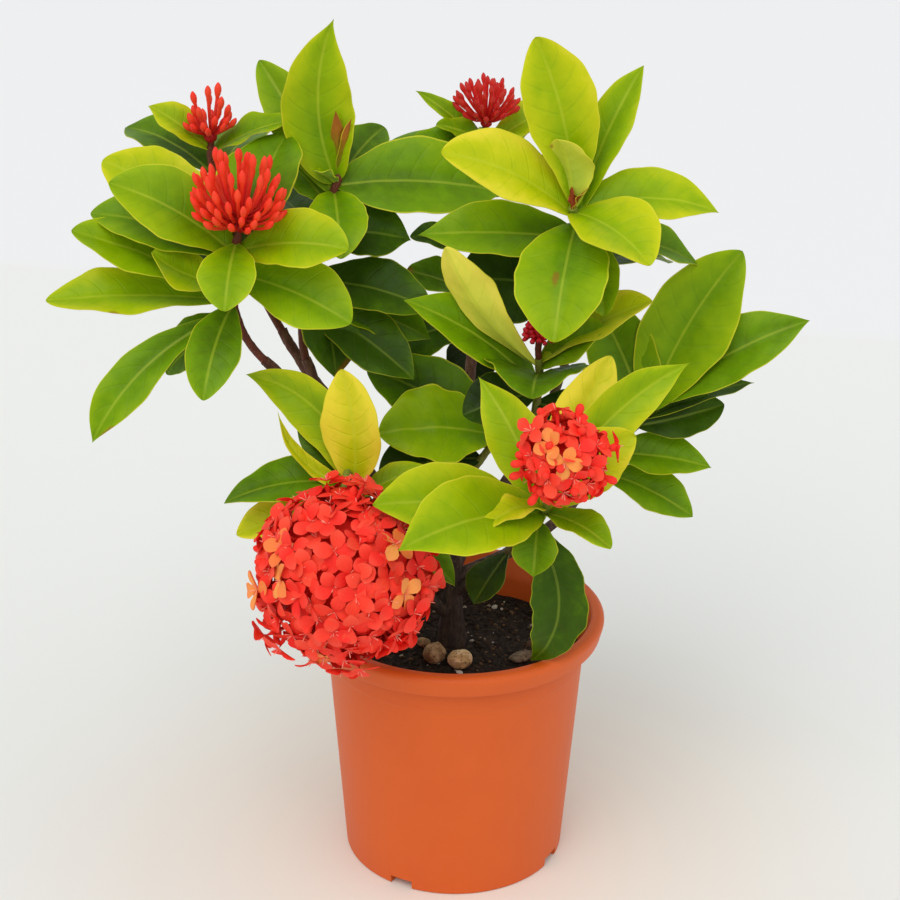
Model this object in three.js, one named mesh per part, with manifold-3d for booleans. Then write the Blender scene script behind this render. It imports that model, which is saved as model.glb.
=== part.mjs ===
// Potted ixora: a small flowering shrub in a round plastic nursery pot.
// Units are millimetres, +Z is up, and the origin is the middle of the pot's underside.
// The front of the plant faces -Y.

import * as THREE from "three";
import { mergeVertices } from "three/addons/utils/BufferGeometryUtils.js";
import Module from "manifold-3d";

const wasm = await Module();
wasm.setup();

// ---------------------------------------------------------------- driving dimensions

const POT_HEIGHT = 132.7;
const RIM_OUTER_RADIUS = 75;
const LIP_HEIGHT = 11;
const LIP_INNER_RADIUS = 68.4;
const LIP_STEP = 2.2;
const BODY_TOP_RADIUS = 65.6;
const BASE_RADIUS = 56.5;
const POT_WALL = 1.8;
const FOOT_RING_WIDTH = 9;
const FLOOR_LIFT = 4.6;
const FLOOR_THICKNESS = 2;
const CENTRE_PAD_RADIUS = 14;
const POT_SEGMENTS = 32;

const NOTCH_COUNT = 4;
const NOTCH_WIDTH = 12;
const FIRST_NOTCH_HEADING = -118;
const DRAIN_RADIUS = 4.5;
const DRAIN_DISTANCE = 33;

const CLEARANCE = 0.3;

const SOIL_LEVEL = 112;
const SOIL_ROUGHNESS = 1.4;
const SOIL_SEGMENTS = 20;
const SOIL_RINGS = [57, 38, 18, 0];
const SOIL_SEED = 3;

const TRUNK_X = -2;
const TRUNK_FOOT_LEVEL = 45;
const TRUNK_FLARE_RADIUS = 7.8;
const TRUNK_RADIUS = 5.4;
const TRUNK_FLARE_TOP = 134;
const FORK = [1, 1, 168];
const BRANCH_RADIUS = 3;
const BRANCH_LEAD = 9;
const BRANCH_SAG = 0.06;
const BRANCH_STARTS = {
  shoot_left: [-2, 0, 140],
  shoot_rear_left: [-40, 8, 215],
  shoot_middle: [-2, 1, 150],
  shoot_rear_top: FORK,
  shoot_right_top: FORK,
  shoot_right: [0, 0, 150],
  shoot_front: [0, 0, 142],
  shoot_front_left: [-2, 0, 128],
  shoot_centre: FORK,
  shoot_low: [-1, 1, 160],
};
const STEM_RADIUS = 2.1;

const BLADE_THICKNESS = 0.8;
const BLADE_FOLD = 15;
const BLADE_WAVE = 0.9;
const PETIOLE_WIDTH = 2.6;
const BELL_POWER = 0.9;
const SHORT_BLADE = 72;
const SHORT_STATIONS = [0, 0.3, 0.7];
const LONG_STATIONS = [0, 0.22, 0.5, 0.8];

// ---------------------------------------------------------------- leafy shoots
// A shoot's stem runs from its tip through its elbow to its foot on the wood.
// A leaf is written as
//   name, distance below the tip along the stem, heading, rise, droop, length, width,
//   belly, roll
// heading: degrees round +Z from +X; rise: degrees above level where the blade starts;
// droop: degrees by which it bends down by its tip; belly: where along the blade it is
// widest; roll: degrees about its own midrib.

const SHOOTS = [
  {
    name: "shoot_left",
    tip: [-101, -15, 329], elbow: [-105, -9, 292], foot: [-91, -5, 264],
    leaves: [
      ["A1", 12, 150, 42, 32, 84, 38, 0.55, -45],
      ["A2", 10, 182, 46, 30, 65, 38, 0.55, -45],
      ["A3", 12, 172, 30, 30, 70, 34, 0.55, -35],
      ["A4", 30, 184, 30, 14, 78, 32, 0.6, -35],
      ["A5", 34, 185, 8, 14, 86, 30, 0.6, -30],
      ["A6", 26, 203, 10, -36, 42, 27, 0.62, -40],
      ["A7", 4, 267, -8, 44, 44, 28, 0.62, 0],
      ["A8", 40, 203, -13, 50, 93, 24, 0.66, -45],
      ["A9", 36, 256, -14, 48, 55, 26, 0.58, -20],
      ["A10", 44, 172, -22, 34, 47, 26, 0.55, -50],
      ["A11", 9, 340, 22, 30, 58, 34, 0.58, 42],
      ["A12", 20, 342, -4, 26, 62, 36, 0.58, 45],
      ["A13", 26, 30, -10, 20, 42, 26, 0.55, 40],
      ["A14", 12, 66, 54, 24, 71, 44, 0.58, 0],
      ["A15", 30, 128, 15, 30, 60, 30, 0.58, -15],
    ],
  },
  {
    name: "shoot_rear_left",
    tip: [-119, 38, 358], elbow: [-112, 36, 320], foot: [-86, 28, 268],
    leaves: [
      ["B1", 2, 175, 45, 20, 36, 20, 0.55, -35],
      ["B2", 4, 0, 38, 30, 43, 22, 0.55, 20],
      ["B3", 14, 140, 30, 35, 66, 30, 0.58, -20],
      ["B4", 20, 80, 30, 40, 70, 32, 0.58, 0],
      ["B5", 34, 165, 10, 35, 66, 30, 0.58, -10],
      ["B6", 44, 110, 0, 30, 64, 30, 0.58, 0],
    ],
  },
  {
    name: "shoot_middle",
    tip: [-57, 35, 347], elbow: [-74, 24, 290], foot: [-74, 20, 256],
    leaves: [
      ["C1", 6, 180, 66, -48, 80, 36, 0.45, -90],
      ["C2", 12, 142, 58, 12, 75, 26, 0.55, -50],
      ["C3", 2, 265, 80, 8, 34, 7, 0.5, 0],
      ["C4", 3, 315, 76, 6, 31, 7, 0.5, 0],
      ["C5", 6, 228, 45, 30, 18, 10, 0.5, 0],
      ["C10", 7, 5, 8, 22, 80, 44, 0.5, 50],
      ["C11", 12, 60, 45, 35, 54, 24, 0.55, 30],
      ["C12", 10, 278, -10, 40, 46, 30, 0.55, 0],
      ["C13", 18, 141, 45, 20, 32, 18, 0.55, -30],
      ["M1", 31, 0, 8, 24, 44, 34, 0.55, 45],
      ["M3", 49, 303, -45, 40, 56, 36, 0.5, 0],
      ["M4", 55, 350, 5, 30, 62, 32, 0.55, 40],
      ["M5", 65, 340, -20, 20, 66, 32, 0.55, 40],
      ["M6", 35, 120, 30, 40, 68, 30, 0.58, 0],
      ["M7", 59, 4, -16, 15, 66, 30, 0.55, 45],
    ],
  },
  {
    name: "shoot_rear_top",
    tip: [13, 85, 356], elbow: [14, 78, 320], foot: [8, 52, 260],
    leaves: [
      ["D1", 8, 178, 44, 12, 46, 13, 0.5, -40],
      ["D2", 6, 200, 35, 25, 30, 15, 0.5, -40],
      ["D3", 12, 192, 26, 20, 40, 18, 0.5, -40],
      ["D4", 9, 16, 44, 30, 43, 20, 0.58, 35],
      ["D5", 19, 75, 30, 50, 62, 30, 0.58, 0],
      ["D6", 25, 140, 30, 40, 68, 30, 0.58, -10],
      ["D7", 33, 30, 20, 35, 66, 30, 0.58, 20],
      ["D8", 95, 192, -8, 15, 54, 30, 0.55, -45],
      ["D9", 57, 178, 16, 20, 38, 20, 0.55, -30],
      ["D10", 83, 190, 30, 15, 40, 22, 0.6, -40],
      ["D11", 91, 95, -42, 52, 54, 30, 0.55, 180],
    ],
  },
  {
    name: "shoot_right_top",
    tip: [52, 0, 339], elbow: [58, 22, 290], foot: [48, 30, 236],
    leaves: [
      ["E1", 3, 180, 88, 24, 83, 36, 0.62, -85],
      ["E2", 6, 198, 45, 35, 75, 36, 0.58, -50],
      ["E3", 8, 24, 75, 20, 77, 22, 0.58, 40],
      ["E4", 4, 4, 24, 48, 70, 32, 0.5, 38],
      ["E5", 3, 312, 4, 42, 52, 42, 0.5, 14],
      ["E6", 10, 256, -20, 45, 66, 46, 0.55, 0],
      ["E7", 2, 237, 87, 40, 40, 24, 0.6, 0],
      ["E9", 20, 184, 8, 12, 76, 32, 0.5, -45],
      ["E11", 22, 17, 7, 44, 67, 26, 0.55, 30],
      ["E12", 16, 290, -28, 30, 46, 24, 0.55, 20],
      ["E13", 16, 80, 28, 42, 62, 28, 0.58, 0],
      ["E14", 40, 45, 10, 35, 70, 30, 0.58, 10],
      ["E15", 54, 188, 22, 26, 60, 50, 0.58, -55],
    ],
  },
  {
    name: "shoot_right",
    tip: [100, 25, 236], elbow: [84, 24, 216], foot: [60, 20, 184],
    leaves: [
      ["F1", 8, 7, 75, 25, 92, 46, 0.52, 70],
      ["F2", 4, 356, 45, 25, 87, 33, 0.55, 55],
      ["F3", 14, 19, 22, 20, 64, 17, 0.55, 20],
      ["F4", 18, 8, 7, -10, 46, 26, 0.55, 50],
      ["F5", 36, 354, 4, 20, 50, 27, 0.5, 35],
      ["F6", 48, 345, -7, 28, 53, 26, 0.58, 35],
      ["F8", 12, 162, 74, 20, 66, 36, 0.5, -70],
      ["F9", 16, 60, 40, 40, 74, 32, 0.58, 0],
      ["F10", 30, 100, 20, 40, 68, 30, 0.58, 0],
      ["F11", 44, 40, 0, 30, 66, 30, 0.58, 0],
    ],
  },
  {
    name: "shoot_front",
    tip: [40, -68, 220], elbow: [36, -56, 204], foot: [22, -24, 172],
    leaves: [
      ["G1", 8, 50, 62, 20, 80, 29, 0.55, 48],
      ["G2", 8, 140, 70, 30, 70, 27, 0.5, -50],
      ["G3", 12, 10, 60, 38, 58, 30, 0.58, 70],
      ["G4", 8, 222, 20, 30, 88, 40, 0.5, -40],
      ["G5", 16, 199, 26, 26, 82, 38, 0.55, -45],
      ["G6", 5, 224, 34, 62, 42, 18, 0.5, -10],
      ["G7", 8, 318, 12, 40, 40, 20, 0.55, 10],
      ["G8", 16, 260, -38, 40, 27, 22, 0.55, 0],
      ["G9", 26, 324, -40, 98, 78, 28, 0.5, 50],
      ["G10", 14, 20, 66, 46, 102, 24, 0.6, 62],
      ["P1", 58, 218, -38, 15, 31, 22, 0.62, -10],
    ],
  },
  {
    name: "shoot_front_left",
    tip: [-50, -32, 216], elbow: [-40, -24, 191], foot: [-22, -15, 158],
    leaves: [
      ["H1", 4, 136, 98, 32, 57, 31, 0.5, -60],
      ["H2", 8, 158, 84, 86, 84, 27, 0.5, -80],
      ["H3", 14, 162, 60, 20, 50, 22, 0.55, -60],
      ["H4", 6, 184, 12, -72, 56, 9, 0.4, -40],
      ["H5", 4, 181, 12, 42, 64, 28, 0.48, -25],
      ["H6", 16, 180, -3, 26, 64, 24, 0.6, -40],
      ["H7", 12, 17, 30, 25, 36, 15, 0.55, 35],
      ["P2", 40, 334, -5, 40, 43, 22, 0.55, 10],
      ["P3", 54, 266, -36, 22, 46, 24, 0.55, 0],
    ],
  },
  {
    name: "shoot_centre",
    tip: [38, -4, 267], elbow: [37, 4, 235], foot: [26, 10, 190],
    leaves: [
      ["N1", 5, 187, 38, -30, 76, 24, 0.64, 62],
      ["N2", 18, 184, 50, 30, 80, 32, 0.55, -40],
      ["O1", 3, 354, 45, 25, 62, 28, 0.6, 25],
      ["O2", 6, 339, 50, 25, 40, 26, 0.55, 45],
      ["O3", 12, 262, 40, 70, 40, 52, 0.4, 0],
      ["O5", 20, 184, -8, 18, 38, 30, 0.55, -45],
      ["O6", 26, 352, -12, 20, 36, 28, 0.55, 45],
    ],
  },
  {
    name: "shoot_low",
    tip: [20, 16, 219], elbow: [8, 12, 203], foot: [-6, 7, 184],
    leaves: [
      ["Q1", 0, 196, 22, 30, 62, 42, 0.55, -50],
      ["Q2", 6, 163, 46, 38, 74, 40, 0.5, -46],
      ["Q3", 14, 190, 8, 30, 52, 36, 0.55, -40],
    ],
  },
];

// ---------------------------------------------------------------- flower heads
// A head sits on a short stalk over its shoot's tip. Its spread is the angle, from its axis,
// to which it is covered. An open head's axis is the line out of its stalk. Buds reach "low"
// at the sides of their head and "high" along its axis, and the larger its peak, the fewer
// of them are tall.

const OPEN_HEADS = [
  {
    name: "bloom_front_left", shoot: "shoot_front_left", centre: [-51, -73, 186],
    coreRadius: 32, radius: 42, florets: 46, floretRadius: 10.6, spread: 140, seed: 11,
  },
  {
    name: "bloom_front", shoot: "shoot_front", centre: [46, -84, 248],
    coreRadius: 14, radius: 20, florets: 18, floretRadius: 8.2, spread: 128, seed: 23,
  },
];

const BUD_HEADS = [
  {
    name: "buds_left", shoot: "shoot_left", centre: [-100, -18, 335], axis: [0.03, -0.1, 1],
    coreRadius: 4.5, low: 22, high: 37, peak: 1.8, buds: 33, budRadius: 2.3, spread: 72,
    seed: 5,
  },
  {
    name: "buds_rear_left", shoot: "shoot_rear_left", centre: [-119, 37, 363],
    axis: [0.02, -0.1, 1],
    coreRadius: 3.5, low: 15, high: 31, peak: 7, buds: 12, budRadius: 2, spread: 55,
    seed: 7,
  },
  {
    name: "buds_rear_top", shoot: "shoot_rear_top", centre: [13, 85, 361], axis: [0, -0.1, 1],
    coreRadius: 4, low: 16, high: 25, peak: 1, buds: 25, budRadius: 1.9, spread: 62,
    seed: 9, dark: true,
  },
  {
    name: "buds_centre", shoot: "shoot_centre", centre: [38, -6, 280], axis: [0, -0.2, 1],
    coreRadius: 4, low: 9, high: 9, peak: 1, buds: 12, budRadius: 1.5, spread: 105,
    seed: 13, dark: true,
  },
];

const PEDUNCLE_RADIUS = 1.6;

// One petal's rim: degrees from the petal's middle, share of the floret's radius, and lift.
const PETAL_RIM = [[-45, 0.32, -0.6], [-23, 0.98, 0.5], [23, 0.98, 0.5]];
const PETAL_COUNT = 4;
const THROAT_DEPTH = 1;
const FLORET_ROOT = 0.84;
const FLORET_LEAN = 0.3;
const FLORET_SCATTER = [0.95, 1.03];

// A bud's rings after its root: radii back from its point, and share of its radius.
const BUD_ROOT_SHARE = 0.3;
const BUD_RINGS = [[4, 0.5], [1.6, 1]];
const BUD_ROOT = 0.6;
const BUD_SIDES = 3;
const BUD_SCATTER = [0.88, 1.03];
const SPIRAL_SCATTER = 0.25;

// ---------------------------------------------------------------- stones on the soil

const PEBBLES = [
  { name: "pebble_tan", place: [2, -24], size: [13, 12, 10], turn: 20 },
  { name: "pebble_brown", place: [-10.5, -18.5], size: [12.5, 12, 11], turn: 70 },
  { name: "pebble_small", place: [-16, -4], size: [9, 6, 5.5], turn: 130 },
  { name: "bark_chip", place: [33, -17], size: [14, 9, 5], turn: 35 },
];
const STONE_SINK = 0.14;

// ---------------------------------------------------------------- materials

const plain = (color, roughness) =>
  new THREE.MeshStandardMaterial({ color, roughness, metalness: 0 });

const POT_PLASTIC = plain(0xd0602c, 0.45);
const POTTING_SOIL = plain(0x2c211b, 0.95);
const BARK = plain(0x4b352a, 0.85);
const LEAF = plain(0x7fa31e, 0.45);
const PETAL = plain(0xf2463a, 0.5);
const BUD = plain(0xd8322a, 0.45);
const DARK_BUD = plain(0xa81f2c, 0.45);
const STONE = plain(0xb49a7c, 0.85);
const BARK_CHIP = plain(0x7a6350, 0.9);

// ---------------------------------------------------------------- small helpers

const radians = THREE.MathUtils.degToRad;
const vector = ([x, y, z]) => new THREE.Vector3(x, y, z);

// The same draws between 0 and 1 each time, from a small whole seed.
function seededRandom(seed) {
  const range = 2 ** 32;
  let state = (seed * 2654435761) % range;
  return () => {
    state = (state * 1664525 + 1013904223) % range;
    return state / range;
  };
}

// A geometry's corners and faces alone, with equal corners shared.
function bareGeometry(geometry) {
  const bare = geometry.clone();
  bare.deleteAttribute("normal");
  bare.deleteAttribute("uv");
  return mergeVertices(bare, 1e-4);
}

function solidOf(geometry) {
  const bare = bareGeometry(geometry);
  return new wasm.Manifold(new wasm.Mesh({
    numProp: 3,
    vertProperties: new Float32Array(bare.attributes.position.array),
    triVerts: new Uint32Array(bare.index.array),
  }));
}

function geometryOf(solid) {
  const mesh = solid.getMesh();
  const geometry = new THREE.BufferGeometry();
  const corners = new Float32Array(mesh.vertProperties);
  geometry.setAttribute("position", new THREE.BufferAttribute(corners, 3));
  geometry.setIndex(new THREE.BufferAttribute(new Uint32Array(mesh.triVerts), 1));
  geometry.computeVertexNormals();
  return geometry;
}

// The union of some geometries, without the scraps and closed hollows that fusing leaves.
function fuse(geometries) {
  const [first, ...others] = geometries.map(solidOf);
  const bodies = others.reduce((whole, piece) => whole.add(piece), first).decompose();
  return geometryOf(bodies.reduce((best, body) => (body.volume() > best.volume() ? body : best)));
}

// A lathe about Z from pairs of radius and level.
function turned(profile, segments) {
  const points = profile.map(([radius, level]) => new THREE.Vector2(radius, level));
  return new THREE.LatheGeometry(points, segments).rotateX(Math.PI / 2);
}

function uprightCylinder(radius, height, segments) {
  return new THREE.CylinderGeometry(radius, radius, height, segments).rotateX(Math.PI / 2);
}

// A limb of one thickness along a path.
function limb(path, radius, sides, steps) {
  const corners = Array.from({ length: sides }, (_, k) => {
    const angle = (2 * Math.PI * k) / sides;
    return new THREE.Vector2(radius * Math.cos(angle), radius * Math.sin(angle));
  });
  return new THREE.ExtrudeGeometry(new THREE.Shape(corners), {
    steps, bevelEnabled: false, extrudePath: path,
  });
}

// A closed solid from its corners and the triangles between them.
function facetedGeometry(corners, triangles) {
  const geometry = new THREE.BufferGeometry();
  const places = corners.flatMap((corner) => [corner.x, corner.y, corner.z]);
  geometry.setAttribute("position", new THREE.Float32BufferAttribute(places, 3));
  geometry.setIndex(triangles.flat());
  return geometry;
}

function ballGeometry(radius, detail, centre) {
  return new THREE.IcosahedronGeometry(radius, detail).translate(...centre);
}

function namedMesh(name, geometry, material) {
  const mesh = new THREE.Mesh(geometry, material);
  mesh.name = name;
  return mesh;
}

// ---------------------------------------------------------------- pot and soil

const WALL_TOP = POT_HEIGHT - LIP_HEIGHT;
const FLOOR_TOP = FLOOR_LIFT + FLOOR_THICKNESS;

// The pot tapers to a foot ring, stands on that and on a small centre pad, and flares out
// at its lip.
function potGeometry() {
  const ringInner = BASE_RADIUS - FOOT_RING_WIDTH;
  let pot = solidOf(turned([
    [0, 0], [CENTRE_PAD_RADIUS, 0], [CENTRE_PAD_RADIUS + FLOOR_LIFT, FLOOR_LIFT],
    [ringInner, FLOOR_LIFT], [ringInner, 0], [BASE_RADIUS, 0],
    [BODY_TOP_RADIUS, WALL_TOP], [RIM_OUTER_RADIUS - LIP_STEP, WALL_TOP],
    [RIM_OUTER_RADIUS, POT_HEIGHT - LIP_STEP], [RIM_OUTER_RADIUS - LIP_STEP, POT_HEIGHT],
    [LIP_INNER_RADIUS, POT_HEIGHT], [BODY_TOP_RADIUS - POT_WALL, WALL_TOP],
    [BASE_RADIUS - POT_WALL, FLOOR_TOP], [0, FLOOR_TOP],
  ], POT_SEGMENTS));
  for (let k = 0; k < NOTCH_COUNT; k += 1) {
    const heading = radians(FIRST_NOTCH_HEADING + (360 / NOTCH_COUNT) * k);
    const notch = new THREE.BoxGeometry(2 * FOOT_RING_WIDTH, NOTCH_WIDTH, 2 * FLOOR_LIFT)
      .translate(BASE_RADIUS - FOOT_RING_WIDTH / 2, 0, 0).rotateZ(heading);
    const drain = uprightCylinder(DRAIN_RADIUS, 4 * FLOOR_TOP, 12)
      .translate(DRAIN_DISTANCE, 0, 0).rotateZ(heading);
    pot = pot.subtract(solidOf(notch)).subtract(solidOf(drain));
  }
  return geometryOf(pot);
}

// The radius of the pot's inner wall at a level below the lip.
function innerRadius(level) {
  const share = (level - FLOOR_TOP) / (WALL_TOP - FLOOR_TOP);
  return THREE.MathUtils.lerp(BASE_RADIUS, BODY_TOP_RADIUS, share) - POT_WALL;
}

// The soil fills the pot with a little clearance, is uneven on top, and has a plain hole
// for the trunk's foot.
function soilGeometry() {
  const bottom = FLOOR_TOP + CLEARANCE;
  const soil = bareGeometry(turned([
    [0, bottom], [innerRadius(bottom) - 2 * CLEARANCE, bottom],
    [innerRadius(SOIL_LEVEL) - 2 * CLEARANCE, SOIL_LEVEL],
    ...SOIL_RINGS.map((radius) => [radius, SOIL_LEVEL]),
  ], SOIL_SEGMENTS));
  const random = seededRandom(SOIL_SEED);
  const corners = soil.attributes.position;
  for (let k = 0; k < corners.count; k += 1) {
    const distance = Math.hypot(corners.getX(k), corners.getY(k));
    if (corners.getZ(k) > SOIL_LEVEL - CLEARANCE && distance <= SOIL_RINGS[0] + CLEARANCE) {
      corners.setZ(k, SOIL_LEVEL + SOIL_ROUGHNESS * (random() - 0.5));
    }
  }
  const holeRadius = TRUNK_FLARE_RADIUS + 2 * CLEARANCE;
  const holeDepth = SOIL_LEVEL - TRUNK_FOOT_LEVEL + CLEARANCE;
  const hole = uprightCylinder(holeRadius, 2 * holeDepth, 16).translate(TRUNK_X, 0, SOIL_LEVEL);
  return geometryOf(solidOf(soil).subtract(solidOf(hole)));
}

// ---------------------------------------------------------------- wood

const shootNamed = (name) => SHOOTS.find((shoot) => shoot.name === name);

// A stem is the parabola through its tip, elbow and foot.
function stemPath(shoot) {
  const [tip, elbow, foot] = [shoot.tip, shoot.elbow, shoot.foot].map(vector);
  const pull = elbow.multiplyScalar(2).sub(tip.clone().add(foot).multiplyScalar(0.5));
  return new THREE.QuadraticBezierCurve3(tip, pull, foot);
}

// A branch leaves the trunk, sags a little, and ends just short of its shoot's foot, in
// line with it.
function branchGeometry(shoot, start) {
  const downStem = stemPath(shoot).getTangent(1);
  const foot = vector(shoot.foot);
  const end = foot.clone().addScaledVector(downStem, CLEARANCE);
  const lead = foot.clone().addScaledVector(downStem, BRANCH_LEAD);
  const from = vector(start);
  const sagging = from.clone().lerp(lead, 0.5);
  sagging.z -= BRANCH_SAG * from.distanceTo(lead);
  return limb(new THREE.CatmullRomCurve3([from, sagging, lead, end]), BRANCH_RADIUS, 5, 4);
}

function woodGeometry() {
  const foot = turned([
    [0, TRUNK_FOOT_LEVEL], [TRUNK_RADIUS, TRUNK_FOOT_LEVEL],
    [TRUNK_FLARE_RADIUS, SOIL_LEVEL], [TRUNK_RADIUS, TRUNK_FLARE_TOP], [0, TRUNK_FLARE_TOP],
  ], 10).translate(TRUNK_X, 0, 0);
  const trunk = limb(new THREE.CatmullRomCurve3([
    new THREE.Vector3(TRUNK_X, 0, TRUNK_FLARE_TOP - TRUNK_RADIUS),
    new THREE.Vector3(TRUNK_X, 0, (TRUNK_FLARE_TOP + FORK[2]) / 2),
    vector(FORK),
  ]), TRUNK_RADIUS, 8, 3);
  const branches = Object.entries(BRANCH_STARTS)
    .map(([name, start]) => branchGeometry(shootNamed(name), start));
  return fuse([foot, trunk, ...branches]);
}

// ---------------------------------------------------------------- leaves

// A blade is a strip of stations along its midrib. The midrib leaves the stem at the rise
// angle and bends down evenly. Its half width follows a sine of the distance raised to the
// power that puts the widest place at the belly. Both halves fold up from the midrib, and
// the edges wave a little.
function bladeGeometry(root, leaf) {
  const [, , heading, rise, droop, length, width, belly, roll] = leaf;
  const stations = length < SHORT_BLADE ? SHORT_STATIONS : LONG_STATIONS;
  const power = Math.log(0.5) / Math.log(belly);
  const outward = new THREE.Vector3(Math.cos(radians(heading)), Math.sin(radians(heading)), 0);
  const across = new THREE.Vector3(-outward.y, outward.x, 0);
  const turn = radians(roll);
  const fold = radians(BLADE_FOLD);
  const inclined = (slope, forward, upward) => outward.clone()
    .multiplyScalar(forward * Math.cos(slope) - upward * Math.sin(slope))
    .setZ(forward * Math.sin(slope) + upward * Math.cos(slope));
  const corners = [];
  const place = root.clone();
  let reached = 0;
  for (const [k, station] of stations.entries()) {
    const chordSlope = radians(rise - (droop * (reached + station)) / 2);
    place.addScaledVector(inclined(chordSlope, 1, 0), length * (station - reached));
    reached = station;
    const normal = inclined(radians(rise - droop * station), 0, 1);
    const side = across.clone().multiplyScalar(Math.cos(turn))
      .addScaledVector(normal, Math.sin(turn));
    const up = normal.multiplyScalar(Math.cos(turn)).addScaledVector(across, -Math.sin(turn));
    const bell = Math.sin(Math.PI * station ** power) ** BELL_POWER;
    const half = Math.max(PETIOLE_WIDTH / 2, (width / 2) * bell);
    const wave = BLADE_WAVE * bell * (-1) ** k;
    for (const sheet of [0, -BLADE_THICKNESS]) {
      for (const edge of [-1, 0, 1]) {
        const lift = Math.abs(edge) * half * Math.sin(fold) + edge * wave;
        corners.push(place.clone().addScaledVector(side, edge * half * Math.cos(fold))
          .addScaledVector(up, lift + sheet));
      }
    }
  }
  const tipSlope = radians(rise - (droop * (reached + 1)) / 2);
  corners.push(place.addScaledVector(inclined(tipSlope, 1, 0), length * (1 - reached)));
  return facetedGeometry(corners, bladeTriangles(stations.length));
}

// Corners 0 to 2 of a station are its upper face and 3 to 5 its lower one. Both faces are
// split along the same diagonals.
function bladeTriangles(stationCount) {
  const triangles = [[0, 1, 3], [1, 4, 3], [1, 2, 4], [2, 5, 4]];
  const last = 6 * (stationCount - 1);
  for (let a = 0; a < last; a += 6) {
    const b = a + 6;
    for (const j of [0, 1]) {
      triangles.push([a + j, b + j, b + j + 1], [a + j, b + j + 1, a + j + 1]);
      triangles.push([a + j + 3, b + j + 4, b + j + 3], [a + j + 3, a + j + 4, b + j + 4]);
    }
    triangles.push([a, a + 3, b + 3], [a, b + 3, b]);
    triangles.push([a + 2, b + 2, b + 5], [a + 2, b + 5, a + 5]);
  }
  const tip = last + 6;
  for (const j of [0, 1]) {
    triangles.push([last + j, tip, last + j + 1], [last + j + 3, last + j + 4, tip]);
  }
  triangles.push([last, last + 3, tip], [last + 2, tip, last + 5]);
  return triangles;
}

function shootGeometry(shoot) {
  const path = stemPath(shoot);
  const reach = path.getLength();
  const blades = shoot.leaves.map((leaf) => bladeGeometry(path.getPointAt(leaf[1] / reach), leaf));
  return fuse([limb(path, STEM_RADIUS, 5, 4), ...blades]);
}

// ---------------------------------------------------------------- flower heads

// Directions spread evenly by the golden angle, out to the spread angle from an axis.
function spreadDirections(count, axis, spread, random) {
  const goldenAngle = Math.PI * (3 - Math.sqrt(5));
  const lowest = Math.cos(radians(spread));
  const turn = new THREE.Quaternion().setFromUnitVectors(new THREE.Vector3(0, 0, 1), axis);
  return Array.from({ length: count }, (_, k) => {
    const height = THREE.MathUtils.lerp(1, lowest, (k + 0.5) / count);
    const across = Math.sqrt(1 - height * height);
    const angle = goldenAngle * k + SPIRAL_SCATTER * (random() - 0.5);
    return new THREE.Vector3(across * Math.cos(angle), across * Math.sin(angle), height)
      .applyQuaternion(turn);
  });
}

// The corners of a ring round an axis, from pairs of bearing and radius.
function ringCorners(centre, axis, polar) {
  const helper = new THREE.Vector3(Math.abs(axis.z) < 0.9 ? 0 : 1, 0, 1);
  const first = helper.cross(axis).normalize();
  const second = axis.clone().cross(first);
  return polar.map(([bearing, radius]) => centre.clone()
    .addScaledVector(first, radius * Math.cos(bearing))
    .addScaledVector(second, radius * Math.sin(bearing)));
}

// An open floret: four broad petals round a shallow throat, over a tube that narrows to a
// point inside the core.
function floretGeometry(face, root, radius, spin) {
  const axis = face.clone().sub(root).normalize();
  const rim = Array.from({ length: PETAL_COUNT }, (_, petal) => PETAL_RIM
    .map(([angle, share, lift]) => [spin + radians(90 * petal + angle), share * radius, lift])).flat();
  const edge = ringCorners(face, axis, rim);
  edge.forEach((corner, k) => corner.addScaledVector(axis, rim[k][2]));
  const throat = face.clone().addScaledVector(axis, -THROAT_DEPTH);
  const triangles = edge.flatMap((_, k) => {
    const [a, b] = [2 + k, 2 + ((k + 1) % edge.length)];
    return [[0, a, b], [1, b, a]];
  });
  return facetedGeometry([throat, root, ...edge], triangles);
}

// A closed bud: a thin tube that swells into a pointed club.
function budGeometry(centre, direction, root, reach, radius) {
  const swelling = BUD_RINGS.map(([back, share]) => [reach - back * radius, share]);
  const rings = [[root, BUD_ROOT_SHARE], ...swelling];
  const bearings = Array.from({ length: BUD_SIDES }, (_, k) => (2 * Math.PI * k) / BUD_SIDES);
  const corners = rings.flatMap(([distance, share]) => {
    const middle = centre.clone().addScaledVector(direction, distance);
    return ringCorners(middle, direction, bearings.map((bearing) => [bearing, share * radius]));
  });
  corners.push(centre.clone().addScaledVector(direction, reach));
  const top = BUD_SIDES * (rings.length - 1);
  const triangles = [[0, 2, 1]];
  for (let side = 0; side < BUD_SIDES; side += 1) {
    const next = (side + 1) % BUD_SIDES;
    for (let ring = 0; ring < top; ring += BUD_SIDES) {
      const above = ring + BUD_SIDES;
      triangles.push([ring + side, ring + next, above + next]);
      triangles.push([ring + side, above + next, above + side]);
    }
    triangles.push([top + side, top + next, top + BUD_SIDES]);
  }
  return facetedGeometry(corners, triangles);
}

// The short stalk from just over the shoot's tip into the head's core.
function stalkGeometry(shoot, centre) {
  const upStem = stemPath(shoot).getTangent(0).negate();
  const start = vector(shoot.tip).addScaledVector(upStem, CLEARANCE);
  const lead = vector(shoot.tip).addScaledVector(upStem, 2 * PEDUNCLE_RADIUS);
  return limb(new THREE.CatmullRomCurve3([start, lead, centre]), PEDUNCLE_RADIUS, 5, 3);
}

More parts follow.
